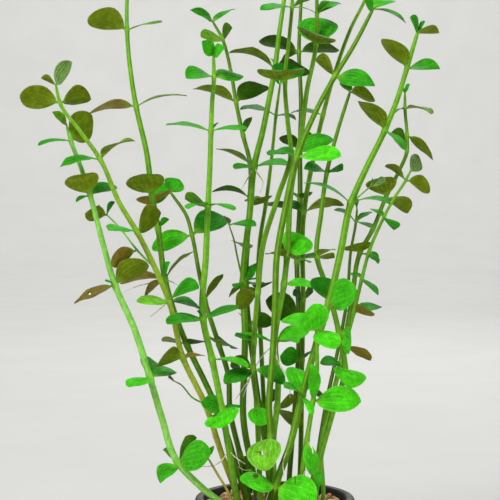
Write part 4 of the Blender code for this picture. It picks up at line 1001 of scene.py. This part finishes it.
def new_tree(name, *numbers):
    """A Geometry Nodes tree with its geometry, its named numbers and its material as inputs."""
    tree = bpy.data.node_groups.new(name, "GeometryNodeTree")
    tree.interface.new_socket("Geometry", in_out="INPUT", socket_type="NodeSocketGeometry")
    for title, kind, default in numbers:
        socket = tree.interface.new_socket(title, in_out="INPUT", socket_type=f"NodeSocket{kind}")
        socket.default_value = default
    tree.interface.new_socket("Material", in_out="INPUT", socket_type="NodeSocketMaterial")
    tree.interface.new_socket("Geometry", in_out="OUTPUT", socket_type="NodeSocketGeometry")
    return tree, tree.nodes.new("NodeGroupInput"), tree.nodes.new("NodeGroupOutput")


def end_tree(tree, given, result, geometry):
    """The last nodes of every tree: plain smooth mesh, with its material."""
    real = put(tree, "GeometryNodeRealizeInstances", {"Geometry": geometry})
    smooth = put(tree, "GeometryNodeSetShadeSmooth", {"Geometry": real.outputs[0]})
    finish = put(tree, "GeometryNodeSetMaterial", {
        "Geometry": smooth.outputs[0], "Material": given.outputs["Material"]})
    tree.links.new(finish.outputs[0], result.inputs[0])


@functools.cache
def sweep_tree():
    """Sweeps a ridged round section along a line of points, as wide as the points' "wide" says."""
    tree, given, result = new_tree("Stem sweep", ("Sides", "Int", 16), ("Ridge", "Float", 0.1))
    circle = put(tree, "GeometryNodeCurvePrimitiveCircle", {
        "Resolution": given.outputs["Sides"], "Radius": 0.5})
    place = put(tree, "GeometryNodeInputPosition").outputs[0]
    parts = put(tree, "ShaderNodeSeparateXYZ", {"Vector": place})
    turn = math_node(tree, "ARCTAN2", parts.outputs[1], parts.outputs[0])
    wave = math_node(tree, "COSINE", math_node(tree, "MULTIPLY", turn, 4.0))
    swell = math_node(tree, "MULTIPLY_ADD", wave, given.outputs["Ridge"], 1.0)
    profile = put(tree, "GeometryNodeSetPosition", {
        "Geometry": circle.outputs[0], "Position": scaled(tree, place, swell)})
    ridges = put(tree, "GeometryNodeStoreNamedAttribute", {
        "Geometry": profile.outputs[0], "Name": "ridge", "Value": ramped(tree, wave, 0.2, 1.0)},
        data_type="FLOAT", domain="POINT")
    curve = put(tree, "GeometryNodeMeshToCurve", {"Mesh": given.outputs["Geometry"]})
    wide = put(tree, "GeometryNodeInputNamedAttribute", {"Name": "wide"}, data_type="FLOAT")
    swept = put(tree, "GeometryNodeCurveToMesh", {
        "Curve": curve.outputs[0], "Profile Curve": ridges.outputs[0], "Scale": wide.outputs[0],
        "Fill Caps": True})
    end_tree(tree, given, result, swept.outputs[0])
    return tree


@functools.cache
def stones_tree():
    """Puts a stone on each point, turned at random and as big as the point's "stone_radius" says."""
    tree, given, result = new_tree("Stones", ("Lumps", "Float", 0.9 * MM), ("Flatness", "Float", 0.76),
                                   ("Seed", "Int", 3))
    stone = put(tree, "GeometryNodeMeshIcoSphere", {"Radius": 1.0, "Subdivisions": 2})
    radius = put(tree, "GeometryNodeInputNamedAttribute", {"Name": "stone_radius"}, data_type="FLOAT")
    radius = radius.outputs[0]
    sizes = put(tree, "ShaderNodeCombineXYZ", {
        "X": math_node(tree, "MULTIPLY", radius, 1.12), "Y": radius,
        "Z": math_node(tree, "MULTIPLY", radius, given.outputs["Flatness"])})
    turn = put(tree, "FunctionNodeRandomValue", {
        "Min": (-0.5, -0.5, 0.0), "Max": (0.5, 0.5, 6.283), "Seed": given.outputs["Seed"]},
        data_type="FLOAT_VECTOR")
    placed = put(tree, "GeometryNodeInstanceOnPoints", {
        "Points": given.outputs["Geometry"], "Instance": stone.outputs[0], "Rotation": turn.outputs[0],
        "Scale": sizes.outputs[0]})
    tone = put(tree, "FunctionNodeRandomValue", {
        "Min_001": 0.0, "Max_001": 1.0, "Seed": math_node(tree, "ADD", given.outputs["Seed"], 5.0)},
        data_type="FLOAT")
    toned = put(tree, "GeometryNodeStoreNamedAttribute", {
        "Geometry": placed.outputs[0], "Name": "stone_tone", "Value": socket_of(tone.outputs, "Value_001")},
        data_type="FLOAT", domain="INSTANCE")
    real = put(tree, "GeometryNodeRealizeInstances", {"Geometry": toned.outputs[0]})
    noise = put(tree, "ShaderNodeTexNoise", {"Scale": 260.0, "Detail": 1.0})
    depth = math_node(tree, "MULTIPLY", math_node(tree, "SUBTRACT", noise.outputs["Fac"], 0.55),
                      given.outputs["Lumps"])
    outward = put(tree, "GeometryNodeInputNormal").outputs[0]
    offset = scaled(tree, outward, math_node(tree, "MULTIPLY", depth, 2.0))
    lumpy = put(tree, "GeometryNodeSetPosition", {"Geometry": real.outputs[0], "Offset": offset})
    end_tree(tree, given, result, lumpy.outputs[0])
    return tree


def smooth_line(points, step):
    """Points close together on a smooth curve through the given ones."""
    at = np.concatenate([[0.0], np.cumsum(np.linalg.norm(np.diff(points, axis=0), axis=1))])
    slopes = np.gradient(points, at, axis=0)
    made = []
    for i in range(len(points) - 1):
        span = at[i + 1] - at[i]
        for x in np.linspace(0.0, 1.0, max(math.ceil(span / step), 2), endpoint=False):
            made.append((2 * x**3 - 3 * x**2 + 1) * points[i] + (x**3 - 2 * x**2 + x) * span * slopes[i]
                        + (3 * x**2 - 2 * x**3) * points[i + 1] + (x**3 - x**2) * span * slopes[i + 1])
    return np.array(made + [points[-1]])


def line_piece(name, lines, numbers, colours=None):
    """A piece of bare lines, whose points carry numbers and colours, for a tree to sweep."""
    points = [tuple(p) for line in lines for p in line]
    edges, start = [], 0
    for line in lines:
        edges += [(i, i + 1) for i in range(start, start + len(line) - 1)]
        start += len(line)
    mesh = bpy.data.meshes.new(name)
    mesh.from_pydata(points, edges, [])
    for key, values in numbers.items():
        mesh.attributes.new(key, "FLOAT", "POINT").data.foreach_set("value", np.asarray(values, np.float32))
    for key, values in (colours or {}).items():
        mesh.attributes.new(key, "FLOAT_COLOR", "POINT").data.foreach_set(
            "color", np.asarray(values, np.float32).ravel())
    return new_piece(name, mesh)


def whole_line(shoot, lines):
    """The stem's points with its end: in the gravel, or at the joint that a side shoot grows from."""
    line = lines[shoot.name]
    if isinstance(shoot.foot[0], str):
        return np.vstack([line, lines[shoot.foot[0]][shoot.foot[1]]])
    return in_gravel(shoot, line)


STEM_STEP = 1.1 * MM
ROOTLET_STEP = 0.7 * MM
JOINT_REACH = 1.1 * MM
COLOUR_RUN = 170 * MM
# How wide a stem is at some lengths down from its tip, as shares of the full width
TAPER_AT = (0.0, 1.2 * MM, 6 * MM, 25 * MM, 70 * MM)
TAPER = (0.35, 0.52, 0.62, 0.74, 0.95)
FOOT_SWELLING = 0.1


def build_stem(shoot, lines, blades):
    """A stem: it tapers towards its tip, swells at each joint and changes colour on its way down."""
    settings = bpy.context.scene.potted_plant
    look = STEM_LOOKS[shoot.name]
    points = smooth_line(whole_line(shoot, lines), STEM_STEP)
    down = np.concatenate([[0.0], np.cumsum(np.linalg.norm(np.diff(points, axis=0), axis=1))])
    share = np.clip(down / COLOUR_RUN, 0.0, 1.0)
    joints = {shoot.leaves[number].at for number in blades[shoot.name]} - {0}
    near = np.zeros(len(points))
    for joint in joints:
        away = np.linalg.norm(points - lines[shoot.name][joint], axis=1)
        near = np.maximum(near, np.exp(-((away / JOINT_REACH) ** 2)))
    taper = np.interp(down, TAPER_AT, TAPER) + FOOT_SWELLING * share
    wide = settings.stem_width * look.wide * taper * (1 + settings.joint_swelling * near)
    share = share[:, None]
    colour = np.array(look.top) * (1 - share) + np.array(look.foot) * share
    colour = np.hstack([colour, np.ones((len(points), 1))])
    piece = line_piece(shoot.name + "_stem", [points], {"wide": wide, "joint": near}, {"stem_colour": colour})
    with_tree(piece, sweep_tree(), Sides=16, Ridge=0.09, Material=stem_material())
    settle(piece, "stem_green" if shoot.name.startswith("side") else "leaf_green", shoot.name)


LeafForm = namedtuple("LeafForm", "arch cup fold sway twist ripple waves phase round full shade spots")
STATIONS = 13
ACROSS = 9
PETIOLE_SHARE = 0.05


def form_of(shoot_number, number, spec, ripple, seed):
    """The small differences that make each leaf its own."""
    rng = np.random.default_rng([seed, shoot_number, number])
    big = spec.length > 9
    broad = min(max((spec.broad - 0.7) / 0.3, 0.0), 1.0) if big else 0.0
    return LeafForm(
        arch=rng.uniform(0.05, 0.12), cup=rng.uniform(-0.08, 0.16), fold=rng.uniform(0.0, 0.14),
        sway=rng.uniform(-0.05, 0.05), twist=rng.uniform(-0.25, 0.25),
        ripple=ripple * rng.uniform(0.3, 1.5), waves=rng.uniform(1.2, 2.6), phase=rng.uniform(0.0, 6.28),
        round=0.78 if spec.pointed else 1.1 - 0.06 * broad if big else 1.0,
        full=0.78 if spec.pointed else 0.58 - 0.06 * broad if big else 0.74,
        shade=rng.uniform(0.86, 1.14), spots=rng.uniform(0.0, 1.0) ** 2 if big else 0.0)


def leaf_rings(blade, form, thickness, at_tip):
    """The rings of points round a leaf, from its foot inside the stem to its tip, with their shares."""
    length = np.linalg.norm(blade.tip - blade.root)
    start = 0.1 * MM if at_tip else 0.6 * MM
    right = np.cross(blade.normal, blade.along)
    out = np.linspace(-1.0, 1.0, ACROSS)
    opened = 0.5 - 0.5 * np.cos(np.linspace(0.0, 0.97, STATIONS) * math.pi)
    shares = [0.0, PETIOLE_SHARE * 0.6] + [PETIOLE_SHARE + (1 - PETIOLE_SHARE) * x for x in opened[1:]]
    rings = []
    for share in shares:
        on_blade = max((share - PETIOLE_SHARE) / (1 - PETIOLE_SHARE), 0.0)
        shape = math.sin(math.pi * on_blade**form.round) ** form.full
        least = 0.5 * MM * (1 - on_blade) ** 0.5
        half = max(blade.width / 2 * shape, least, 0.12 * MM)
        rise = 4 * form.arch * length * share * (1 - share)
        middle = blade.root + blade.along * (start + (length - start) * share) + blade.normal * rise
        middle = middle + right * (form.sway * length * 4 * share * (1 - share))
        angle = form.twist * on_blade
        side = right * math.cos(angle) + blade.normal * math.sin(angle)
        up = blade.normal * math.cos(angle) - right * math.sin(angle)
        wave = form.ripple * length * np.sin(form.waves * math.tau * share + form.phase + (out > 0) * 2.1)
        lift = half * (form.cup * out**2 + form.fold * np.abs(out)) + wave * out**2 * on_blade
        body = thickness * (1.6 - 0.6 * min(share / 0.25, 1.0)) * (1 - 0.3 * on_blade)
        thin = body / 2 * (1 - 0.78 * out**2)
        top = middle + side * (half * out)[:, None] + up * (lift + thin)[:, None]
        bottom = middle + side * (half * out)[:, None] + up * (lift - thin)[:, None]
        top[[0, -1]] = (top[[0, -1]] + bottom[[0, -1]]) / 2
        rings.append((share, np.vstack([top, bottom[-2:0:-1]])))
    return rings


def add_leaf(mesh, layers, blade, spec, form, thickness):
    """Adds one closed leaf to the mesh, with the colours of its two faces and its map for the veins."""
    rings = leaf_rings(blade, form, thickness, spec.at == 0)
    around = np.concatenate([np.linspace(0.0, 1.0, ACROSS), np.linspace(1.0, 0.0, ACROSS)[1:-1]])
    rows = [[mesh.verts.new(p) for p in points] for _, points in rings]
    count = len(around)

    def paint(face, corners, upper):
        tone = np.array(spec.tone.upper if upper else spec.tone.under) * form.shade
        for loop, (row, i) in zip(face.loops, corners):
            share = rings[row][0]
            base = max(0.0, 1 - share / 0.22)
            loop[layers.uv].uv = (share, around[i % count])
            loop[layers.colour] = (*(tone * (1 - base) + np.array(PETIOLE) * base), 1.0)
            loop[layers.vein] = (*spec.tone.vein, 1.0)
            loop[layers.spots] = (form.spots,) * 3 + (1.0,)
        face.smooth = True

    for row in range(len(rows) - 1):
        for i in range(count):
            j = (i + 1) % count
            corners = ((row, i), (row, j), (row + 1, j), (row + 1, i))
            paint(mesh.faces.new([rows[r][k] for r, k in corners]), corners, i < ACROSS - 1)
    for row, order in ((0, range(count - 1, -1, -1)), (len(rows) - 1, range(count))):
        corners = [(row, i) for i in order]
        paint(mesh.faces.new([rows[r][k] for r, k in corners]), corners, True)


Layers = namedtuple("Layers", "uv colour vein spots")


def leaf_piece(name, shoot_number, shoot, blades, numbers):
    """The leaves of a shoot that have these numbers, as one piece."""
    settings = bpy.context.scene.potted_plant
    mesh = bmesh.new()
    loops = mesh.loops.layers
    layers = Layers(loops.uv.new("UVMap"), loops.float_color.new("leaf_colour"),
                    loops.float_color.new("vein_colour"), loops.float_color.new("spotted"))
    for number in numbers:
        spec = shoot.leaves[number]
        form = form_of(shoot_number, number, spec, settings.ripple, settings.seed)
        add_leaf(mesh, layers, blades[shoot.name][number], spec, form, settings.leaf_thickness)
    bmesh.ops.recalc_face_normals(mesh, faces=mesh.faces)
    return new_piece(name, mesh)


LEAF_SHARP_ANGLE = math.radians(70)
HOLE_CUTTER = 6 * MM


def build_leaves(shoot_number, shoot, blades):
    """The leaves of a shoot: one piece, and one more for each leaf that has a hole."""
    holed = {marked_leaf(mark)[0]: mark for mark in MARKS if mark.hole}
    holed = {number: mark for (name, number), mark in holed.items() if name == shoot.name}
    whole = sorted(set(blades[shoot.name]) - set(holed))
    pieces = [leaf_piece(shoot.name + "_leaves", shoot_number, shoot, blades, whole)]
    for number, mark in holed.items():
        piece = leaf_piece(f"{shoot.name}_leaf_with_hole", shoot_number, shoot, blades, [number])
        cut_hole(piece, mark)
        pieces.append(piece)
    for piece in pieces:
        piece.data.set_sharp_from_angle(angle=LEAF_SHARP_ANGLE)
        piece.data.materials.clear()
        piece.data.materials.append(leaf_material())
        settle(piece, "leaf_green", shoot.name)


@functools.cache
def marked_leaf(mark):
    """The leaf that a mark is on, as its shoot and number, and the mark's point on its blade."""
    _, blades = plan()
    best = None
    for shoot, of_shoot in blades.items():
        for number, blade in of_shoot.items():
            middle = (blade.root + blade.tip) / 2
            near = on_photo(*mark.place, middle[1])
            away = np.linalg.norm(near - middle)
            if best is None or away < best[0]:
                sight = unit(near - EYE)
                ahead = (middle - near) @ blade.normal / (sight @ blade.normal)
                best = (away, (shoot, number), near + sight * ahead)
    return best[1:]


def cut_hole(piece, mark):
    """Cuts the mark's hole through the piece, along the photograph's line of sight."""
    _, point = marked_leaf(mark)
    turn = Vector(point - EYE).to_track_quat("Z", "Y").to_matrix().to_4x4()
    mesh = bmesh.new()
    bmesh.ops.create_cone(mesh, cap_ends=True, segments=14, radius1=mark.hole * MM, radius2=mark.hole * MM,
                          depth=HOLE_CUTTER, matrix=Matrix.Translation(point) @ turn)
    cut_away(piece, new_piece("hole_cutter", mesh))


def stems_at_gravel(lines):
    """Points close together on the stems near the top of the gravel."""
    found = []
    for shoot in SHOOTS:
        if not isinstance(shoot.foot[0], str):
            points, _ = samples_of(in_gravel(shoot, lines[shoot.name]), 0.5 * MM)
            found.append(points[np.abs(points[:, 2] - GRAVEL_TOP) < 3 * MM])
    return np.vstack(found)


STONE_TRIES = 5000
BIG_STONE_TRIES = 1200
STONES_OVERLAP = 0.86
STEM_ROOM = 1.15 * MM
STONE_REACH = 1.1


def stone_places(lines, settings):
    """Where stones lie on the gravel, clear of the stems and of the pot's wall, and how big each is."""
    rng = np.random.default_rng(settings.seed)
    stems = stems_at_gravel(lines)
    wall = inside_radius(GRAVEL_TOP)
    places, radii = [], []
    for attempt in range(STONE_TRIES):
        largest = settings.largest if attempt < BIG_STONE_TRIES else settings.largest * 0.7
        radius = rng.uniform(settings.smallest, largest)
        away, angle = (wall - radius) * math.sqrt(rng.random()), rng.uniform(0.0, math.tau)
        x, y = away * math.cos(angle), away * math.sin(angle)
        place = np.array([x, y, gravel_height(x, y) + rng.uniform(-0.1, 0.3) * radius])
        room = np.linalg.norm(stems - place, axis=1).min() - STEM_ROOM
        radius = min(radius, room / STONE_REACH, (wall - away) / STONE_REACH)
        if radius < settings.smallest * 0.7:
            continue
        if places:
            apart = np.linalg.norm(np.array(places) - place, axis=1)
            if (apart < STONES_OVERLAP * (np.array(radii) + radius)).any():
                continue
        places.append(place)
        radii.append(radius)
    return np.array(places), np.array(radii)


def rounded(profile, cut):
    """The profile with each inner corner replaced by a short curve."""
    made = [np.array(profile[0])]
    for before, corner, after in zip(profile, profile[1:], profile[2:]):
        a, b, c = np.array(before), np.array(corner), np.array(after)
        reach = min(cut, np.linalg.norm(a - b) * 0.45, np.linalg.norm(c - b) * 0.45)
        start, end = b + unit(a - b) * reach, b + unit(c - b) * reach
        made += [start * (1 - x) ** 2 + b * 2 * x * (1 - x) + end * x**2 for x in (0.0, 0.25, 0.5, 0.75, 1.0)]
    return [tuple(p) for p in made + [np.array(profile[-1])]]


def turn_profile(mesh, profile, sides):
    """Turns a closed profile of (radius, height) about the Z axis; a radius of 0 makes a single point."""
    rings = []
    for radius, height in profile:
        if radius == 0:
            rings.append([mesh.verts.new((0, 0, height))] * sides)
            continue
        angles = [math.tau * i / sides for i in range(sides)]
        rings.append([mesh.verts.new((radius * math.cos(a), radius * math.sin(a), height)) for a in angles])
    for low, high in zip(rings, rings[1:]):
        for i in range(sides):
            j = (i + 1) % sides
            mesh.faces.new(list(dict.fromkeys((low[i], low[j], high[j], high[i]))))


ROUND_SIDES = 96
POT_SHARP_ANGLE = math.radians(40)


def build_pot():
    """The pot: a tapered cup with a band round its mouth, a shallow step under it and four drain holes."""
    settings = bpy.context.scene.potted_pot
    band = POT_HEIGHT - POT_RIM_HEIGHT
    mouth, step = inside_radius(POT_HEIGHT), 0.5 * MM
    profile = (
        (0, 0), (POT_FOOT_RADIUS, 0), (POT_FOOT_RADIUS + 0.3 * MM, 2.6 * MM),
        (POT_FOOT_RADIUS + 0.8 * MM, 3.0 * MM),
        (POT_SHOULDER_RADIUS - step, band - 3 * MM), (POT_SHOULDER_RADIUS, band - 2.4 * MM),
        (POT_SHOULDER_RADIUS, band), (POT_RIM_RADIUS - step, band), (POT_RIM_RADIUS, band + 1.4 * MM),
        (POT_RIM_RADIUS, POT_HEIGHT - 1.6 * MM), (POT_RIM_RADIUS - step, POT_HEIGHT), (mouth, POT_HEIGHT),
        (inside_radius(POT_FLOOR), POT_FLOOR), (0, POT_FLOOR),
    )
    mesh = bmesh.new()
    turn_profile(mesh, rounded(profile, settings.edge_radius), ROUND_SIDES)
    bmesh.ops.recalc_face_normals(mesh, faces=mesh.faces)
    pot = new_piece("pot_shell", mesh)
    mesh = bmesh.new()
    for i in range(HOLES):
        angle = math.tau * (i + 0.5) / HOLES
        place = Matrix.Translation((HOLE_CIRCLE * math.cos(angle), HOLE_CIRCLE * math.sin(angle), 0))
        bmesh.ops.create_cone(mesh, cap_ends=True, segments=32, radius1=HOLE_RADIUS, radius2=HOLE_RADIUS,
                              depth=4 * POT_FLOOR, matrix=place)
    cut_away(pot, new_piece("drain_cutter", mesh))
    pot.data.shade_smooth()
    pot.data.set_sharp_from_angle(angle=POT_SHARP_ANGLE)
    pot.data.materials.clear()
    pot.data.materials.append(pot_material())
    settle(pot, "pot_plastic", "pot")


class POTTED_OT_stems(bpy.types.Operator):
    """Build every stem and side stem"""

    bl_idname = "potted.stems"
    bl_label = "Stems"

    def execute(self, context):
        lines, blades = plan()
        for shoot in SHOOTS:
            build_stem(shoot, lines, blades)
        return {"FINISHED"}


class POTTED_OT_leaves(bpy.types.Operator):
    """Build the leaves of every shoot"""

    bl_idname = "potted.leaves"
    bl_label = "Leaves"

    def execute(self, context):
        _, blades = plan()
        for shoot_number, shoot in enumerate(SHOOTS):
            build_leaves(shoot_number, shoot, blades)
        return {"FINISHED"}


class POTTED_OT_rootlets(bpy.types.Operator):
    """Build the thin roots that hang from the joints"""

    bl_idname = "potted.rootlets"
    bl_label = "Rootlets"

    def execute(self, context):
        lines, _ = plan()
        width = context.scene.potted_plant.rootlet_width
        paths, widths = [], []
        for name, at, pixels in ROOTLETS:
            root = lines[name][at]
            backs = root[1] - np.linspace(1.6, 3.0, len(pixels)) * MM
            points = np.array([root] + [on_photo(u, v, back) for (u, v), back in zip(pixels, backs)])
            path = smooth_line(points, ROOTLET_STEP)
            paths.append(path)
            widths += list(width * np.linspace(1.0, 0.45, len(path)))
        piece = line_piece("rootlets", paths, {"wide": widths})
        with_tree(piece, sweep_tree(), Sides=8, Ridge=0.0, Material=rootlet_material())
        settle(piece, "stem_green")
        return {"FINISHED"}


class POTTED_OT_gravel(bpy.types.Operator):
    """Lay the stones on the gravel in the pot"""

    bl_idname = "potted.gravel"
    bl_label = "Gravel"

    def execute(self, context):
        settings = context.scene.potted_gravel
        lines, _ = plan()
        places, radii = stone_places(lines, settings)
        mesh = bpy.data.meshes.new("gravel_stones")
        mesh.from_pydata([tuple(p) for p in places], [], [])
        sizes = mesh.attributes.new("stone_radius", "FLOAT", "POINT")
        sizes.data.foreach_set("value", radii.astype(np.float32))
        piece = new_piece("gravel_stones", mesh)
        with_tree(piece, stones_tree(), Lumps=settings.roundness, Flatness=0.76, Seed=settings.seed,
                  Material=stone_material())
        settle(piece, "gravel")
        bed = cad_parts["gravel"]
        for slot in bed.material_slots:
            slot.material = gravel_bed_material()
        return {"FINISHED"}


class POTTED_OT_pot(bpy.types.Operator):
    """Build the pot"""

    bl_idname = "potted.pot"
    bl_label = "Pot"

    def execute(self, context):
        build_pot()
        return {"FINISHED"}


def add_light(name, place, target, size, power):
    light = bpy.data.lights.new(name, "AREA")
    light.shape = "DISK"
    light.size = size
    light.energy = power
    made = bpy.data.objects.new(name, light)
    made.location = place
    made.rotation_euler = (Vector(target) - Vector(place)).to_track_quat("-Z", "Y").to_euler()
    bpy.context.scene.collection.objects.link(made)


class POTTED_OT_stage(bpy.types.Operator):
    """Set up the floor, the lights and the camera at the photograph's viewing angle"""

    bl_idname = "potted.stage"
    bl_label = "Stage"

    def execute(self, context):
        settings = context.scene.potted_stage
        bend = [(1.8 + 0.7 * math.sin(a), 0.7 - 0.7 * math.cos(a)) for a in np.linspace(math.pi / 2, 0.0, 25)]
        mesh = bmesh.new()
        turn_profile(mesh, [(2.5, 1.3)] + bend + [(0, 0)], ROUND_SIDES)
        floor = new_piece("floor", mesh)
        floor.data.shade_smooth()
        floor.data.materials.append(floor_material())
        middle = (0.0, 0.0, 0.13)
        add_light("key", (-0.45, -0.6, 0.85), middle, 0.5, settings.key_power)
        add_light("fill", (0.8, -0.5, 0.4), middle, 0.7, settings.fill_power)
        add_light("back", (0.15, 0.8, 0.7), middle, 0.5, settings.fill_power)
        add_light("backdrop", (0.0, 1.3, 1.5), (0.0, 2.5, 0.3), 1.2, 1.8 * settings.key_power)
        world = context.scene.world or bpy.data.worlds.new("studio")
        context.scene.world = world
        world.use_nodes = True
        world.node_tree.nodes["Background"].inputs["Color"].default_value = (1.0, 0.99, 0.96, 1.0)
        world.node_tree.nodes["Background"].inputs["Strength"].default_value = 0.42
        context.scene.view_settings.view_transform = "Standard"
        camera = bpy.data.objects.new("photo_view", bpy.data.cameras.new("photo_view"))
        camera.location = EYE
        camera.rotation_euler = (math.pi / 2 - TILT_DOWN, 0.0, 0.0)
        camera.data.sensor_width = SENSOR_WIDTH
        camera.data.lens = SENSOR_WIDTH * FOCAL_PIXELS / PHOTO_PIXELS
        camera.data.clip_start = 0.01
        context.scene.collection.objects.link(camera)
        context.scene.camera = camera
        return {"FINISHED"}


class POTTED_PT_panel(bpy.types.Panel):
    bl_idname = "POTTED_PT_panel"
    bl_label = "Potted plant"
    bl_space_type = "VIEW_3D"
    bl_region_type = "UI"
    bl_category = "Plant"

    def draw(self, context):
        scene = context.scene
        for group in (scene.potted_plant, scene.potted_pot, scene.potted_gravel, scene.potted_stage):
            box = self.layout.box()
            for key in group.__annotations__:
                box.prop(group, key)
        for operator in OPERATORS:
            self.layout.operator(operator.bl_idname)


SETTINGS = {"potted_plant": PlantSettings, "potted_pot": PotSettings, "potted_gravel": GravelSettings,
            "potted_stage": StageSettings}
OPERATORS = (POTTED_OT_stems, POTTED_OT_leaves, POTTED_OT_rootlets, POTTED_OT_gravel, POTTED_OT_pot,
             POTTED_OT_stage)


def register():
    for made in (*SETTINGS.values(), *OPERATORS, POTTED_PT_panel):
        bpy.utils.register_class(made)
    for name, group in SETTINGS.items():
        setattr(bpy.types.Scene, name, PointerProperty(type=group))


def unregister():
    for name in SETTINGS:
        delattr(bpy.types.Scene, name)
    for made in reversed((*SETTINGS.values(), *OPERATORS, POTTED_PT_panel)):
        bpy.utils.unregister_class(made)


def main():
    register()
    bpy.ops.potted.stems()
    bpy.ops.potted.leaves()
    bpy.ops.potted.rootlets()
    bpy.ops.potted.gravel()
    bpy.ops.potted.pot()
    bpy.ops.potted.stage()


if __name__ == "__main__":
    main()
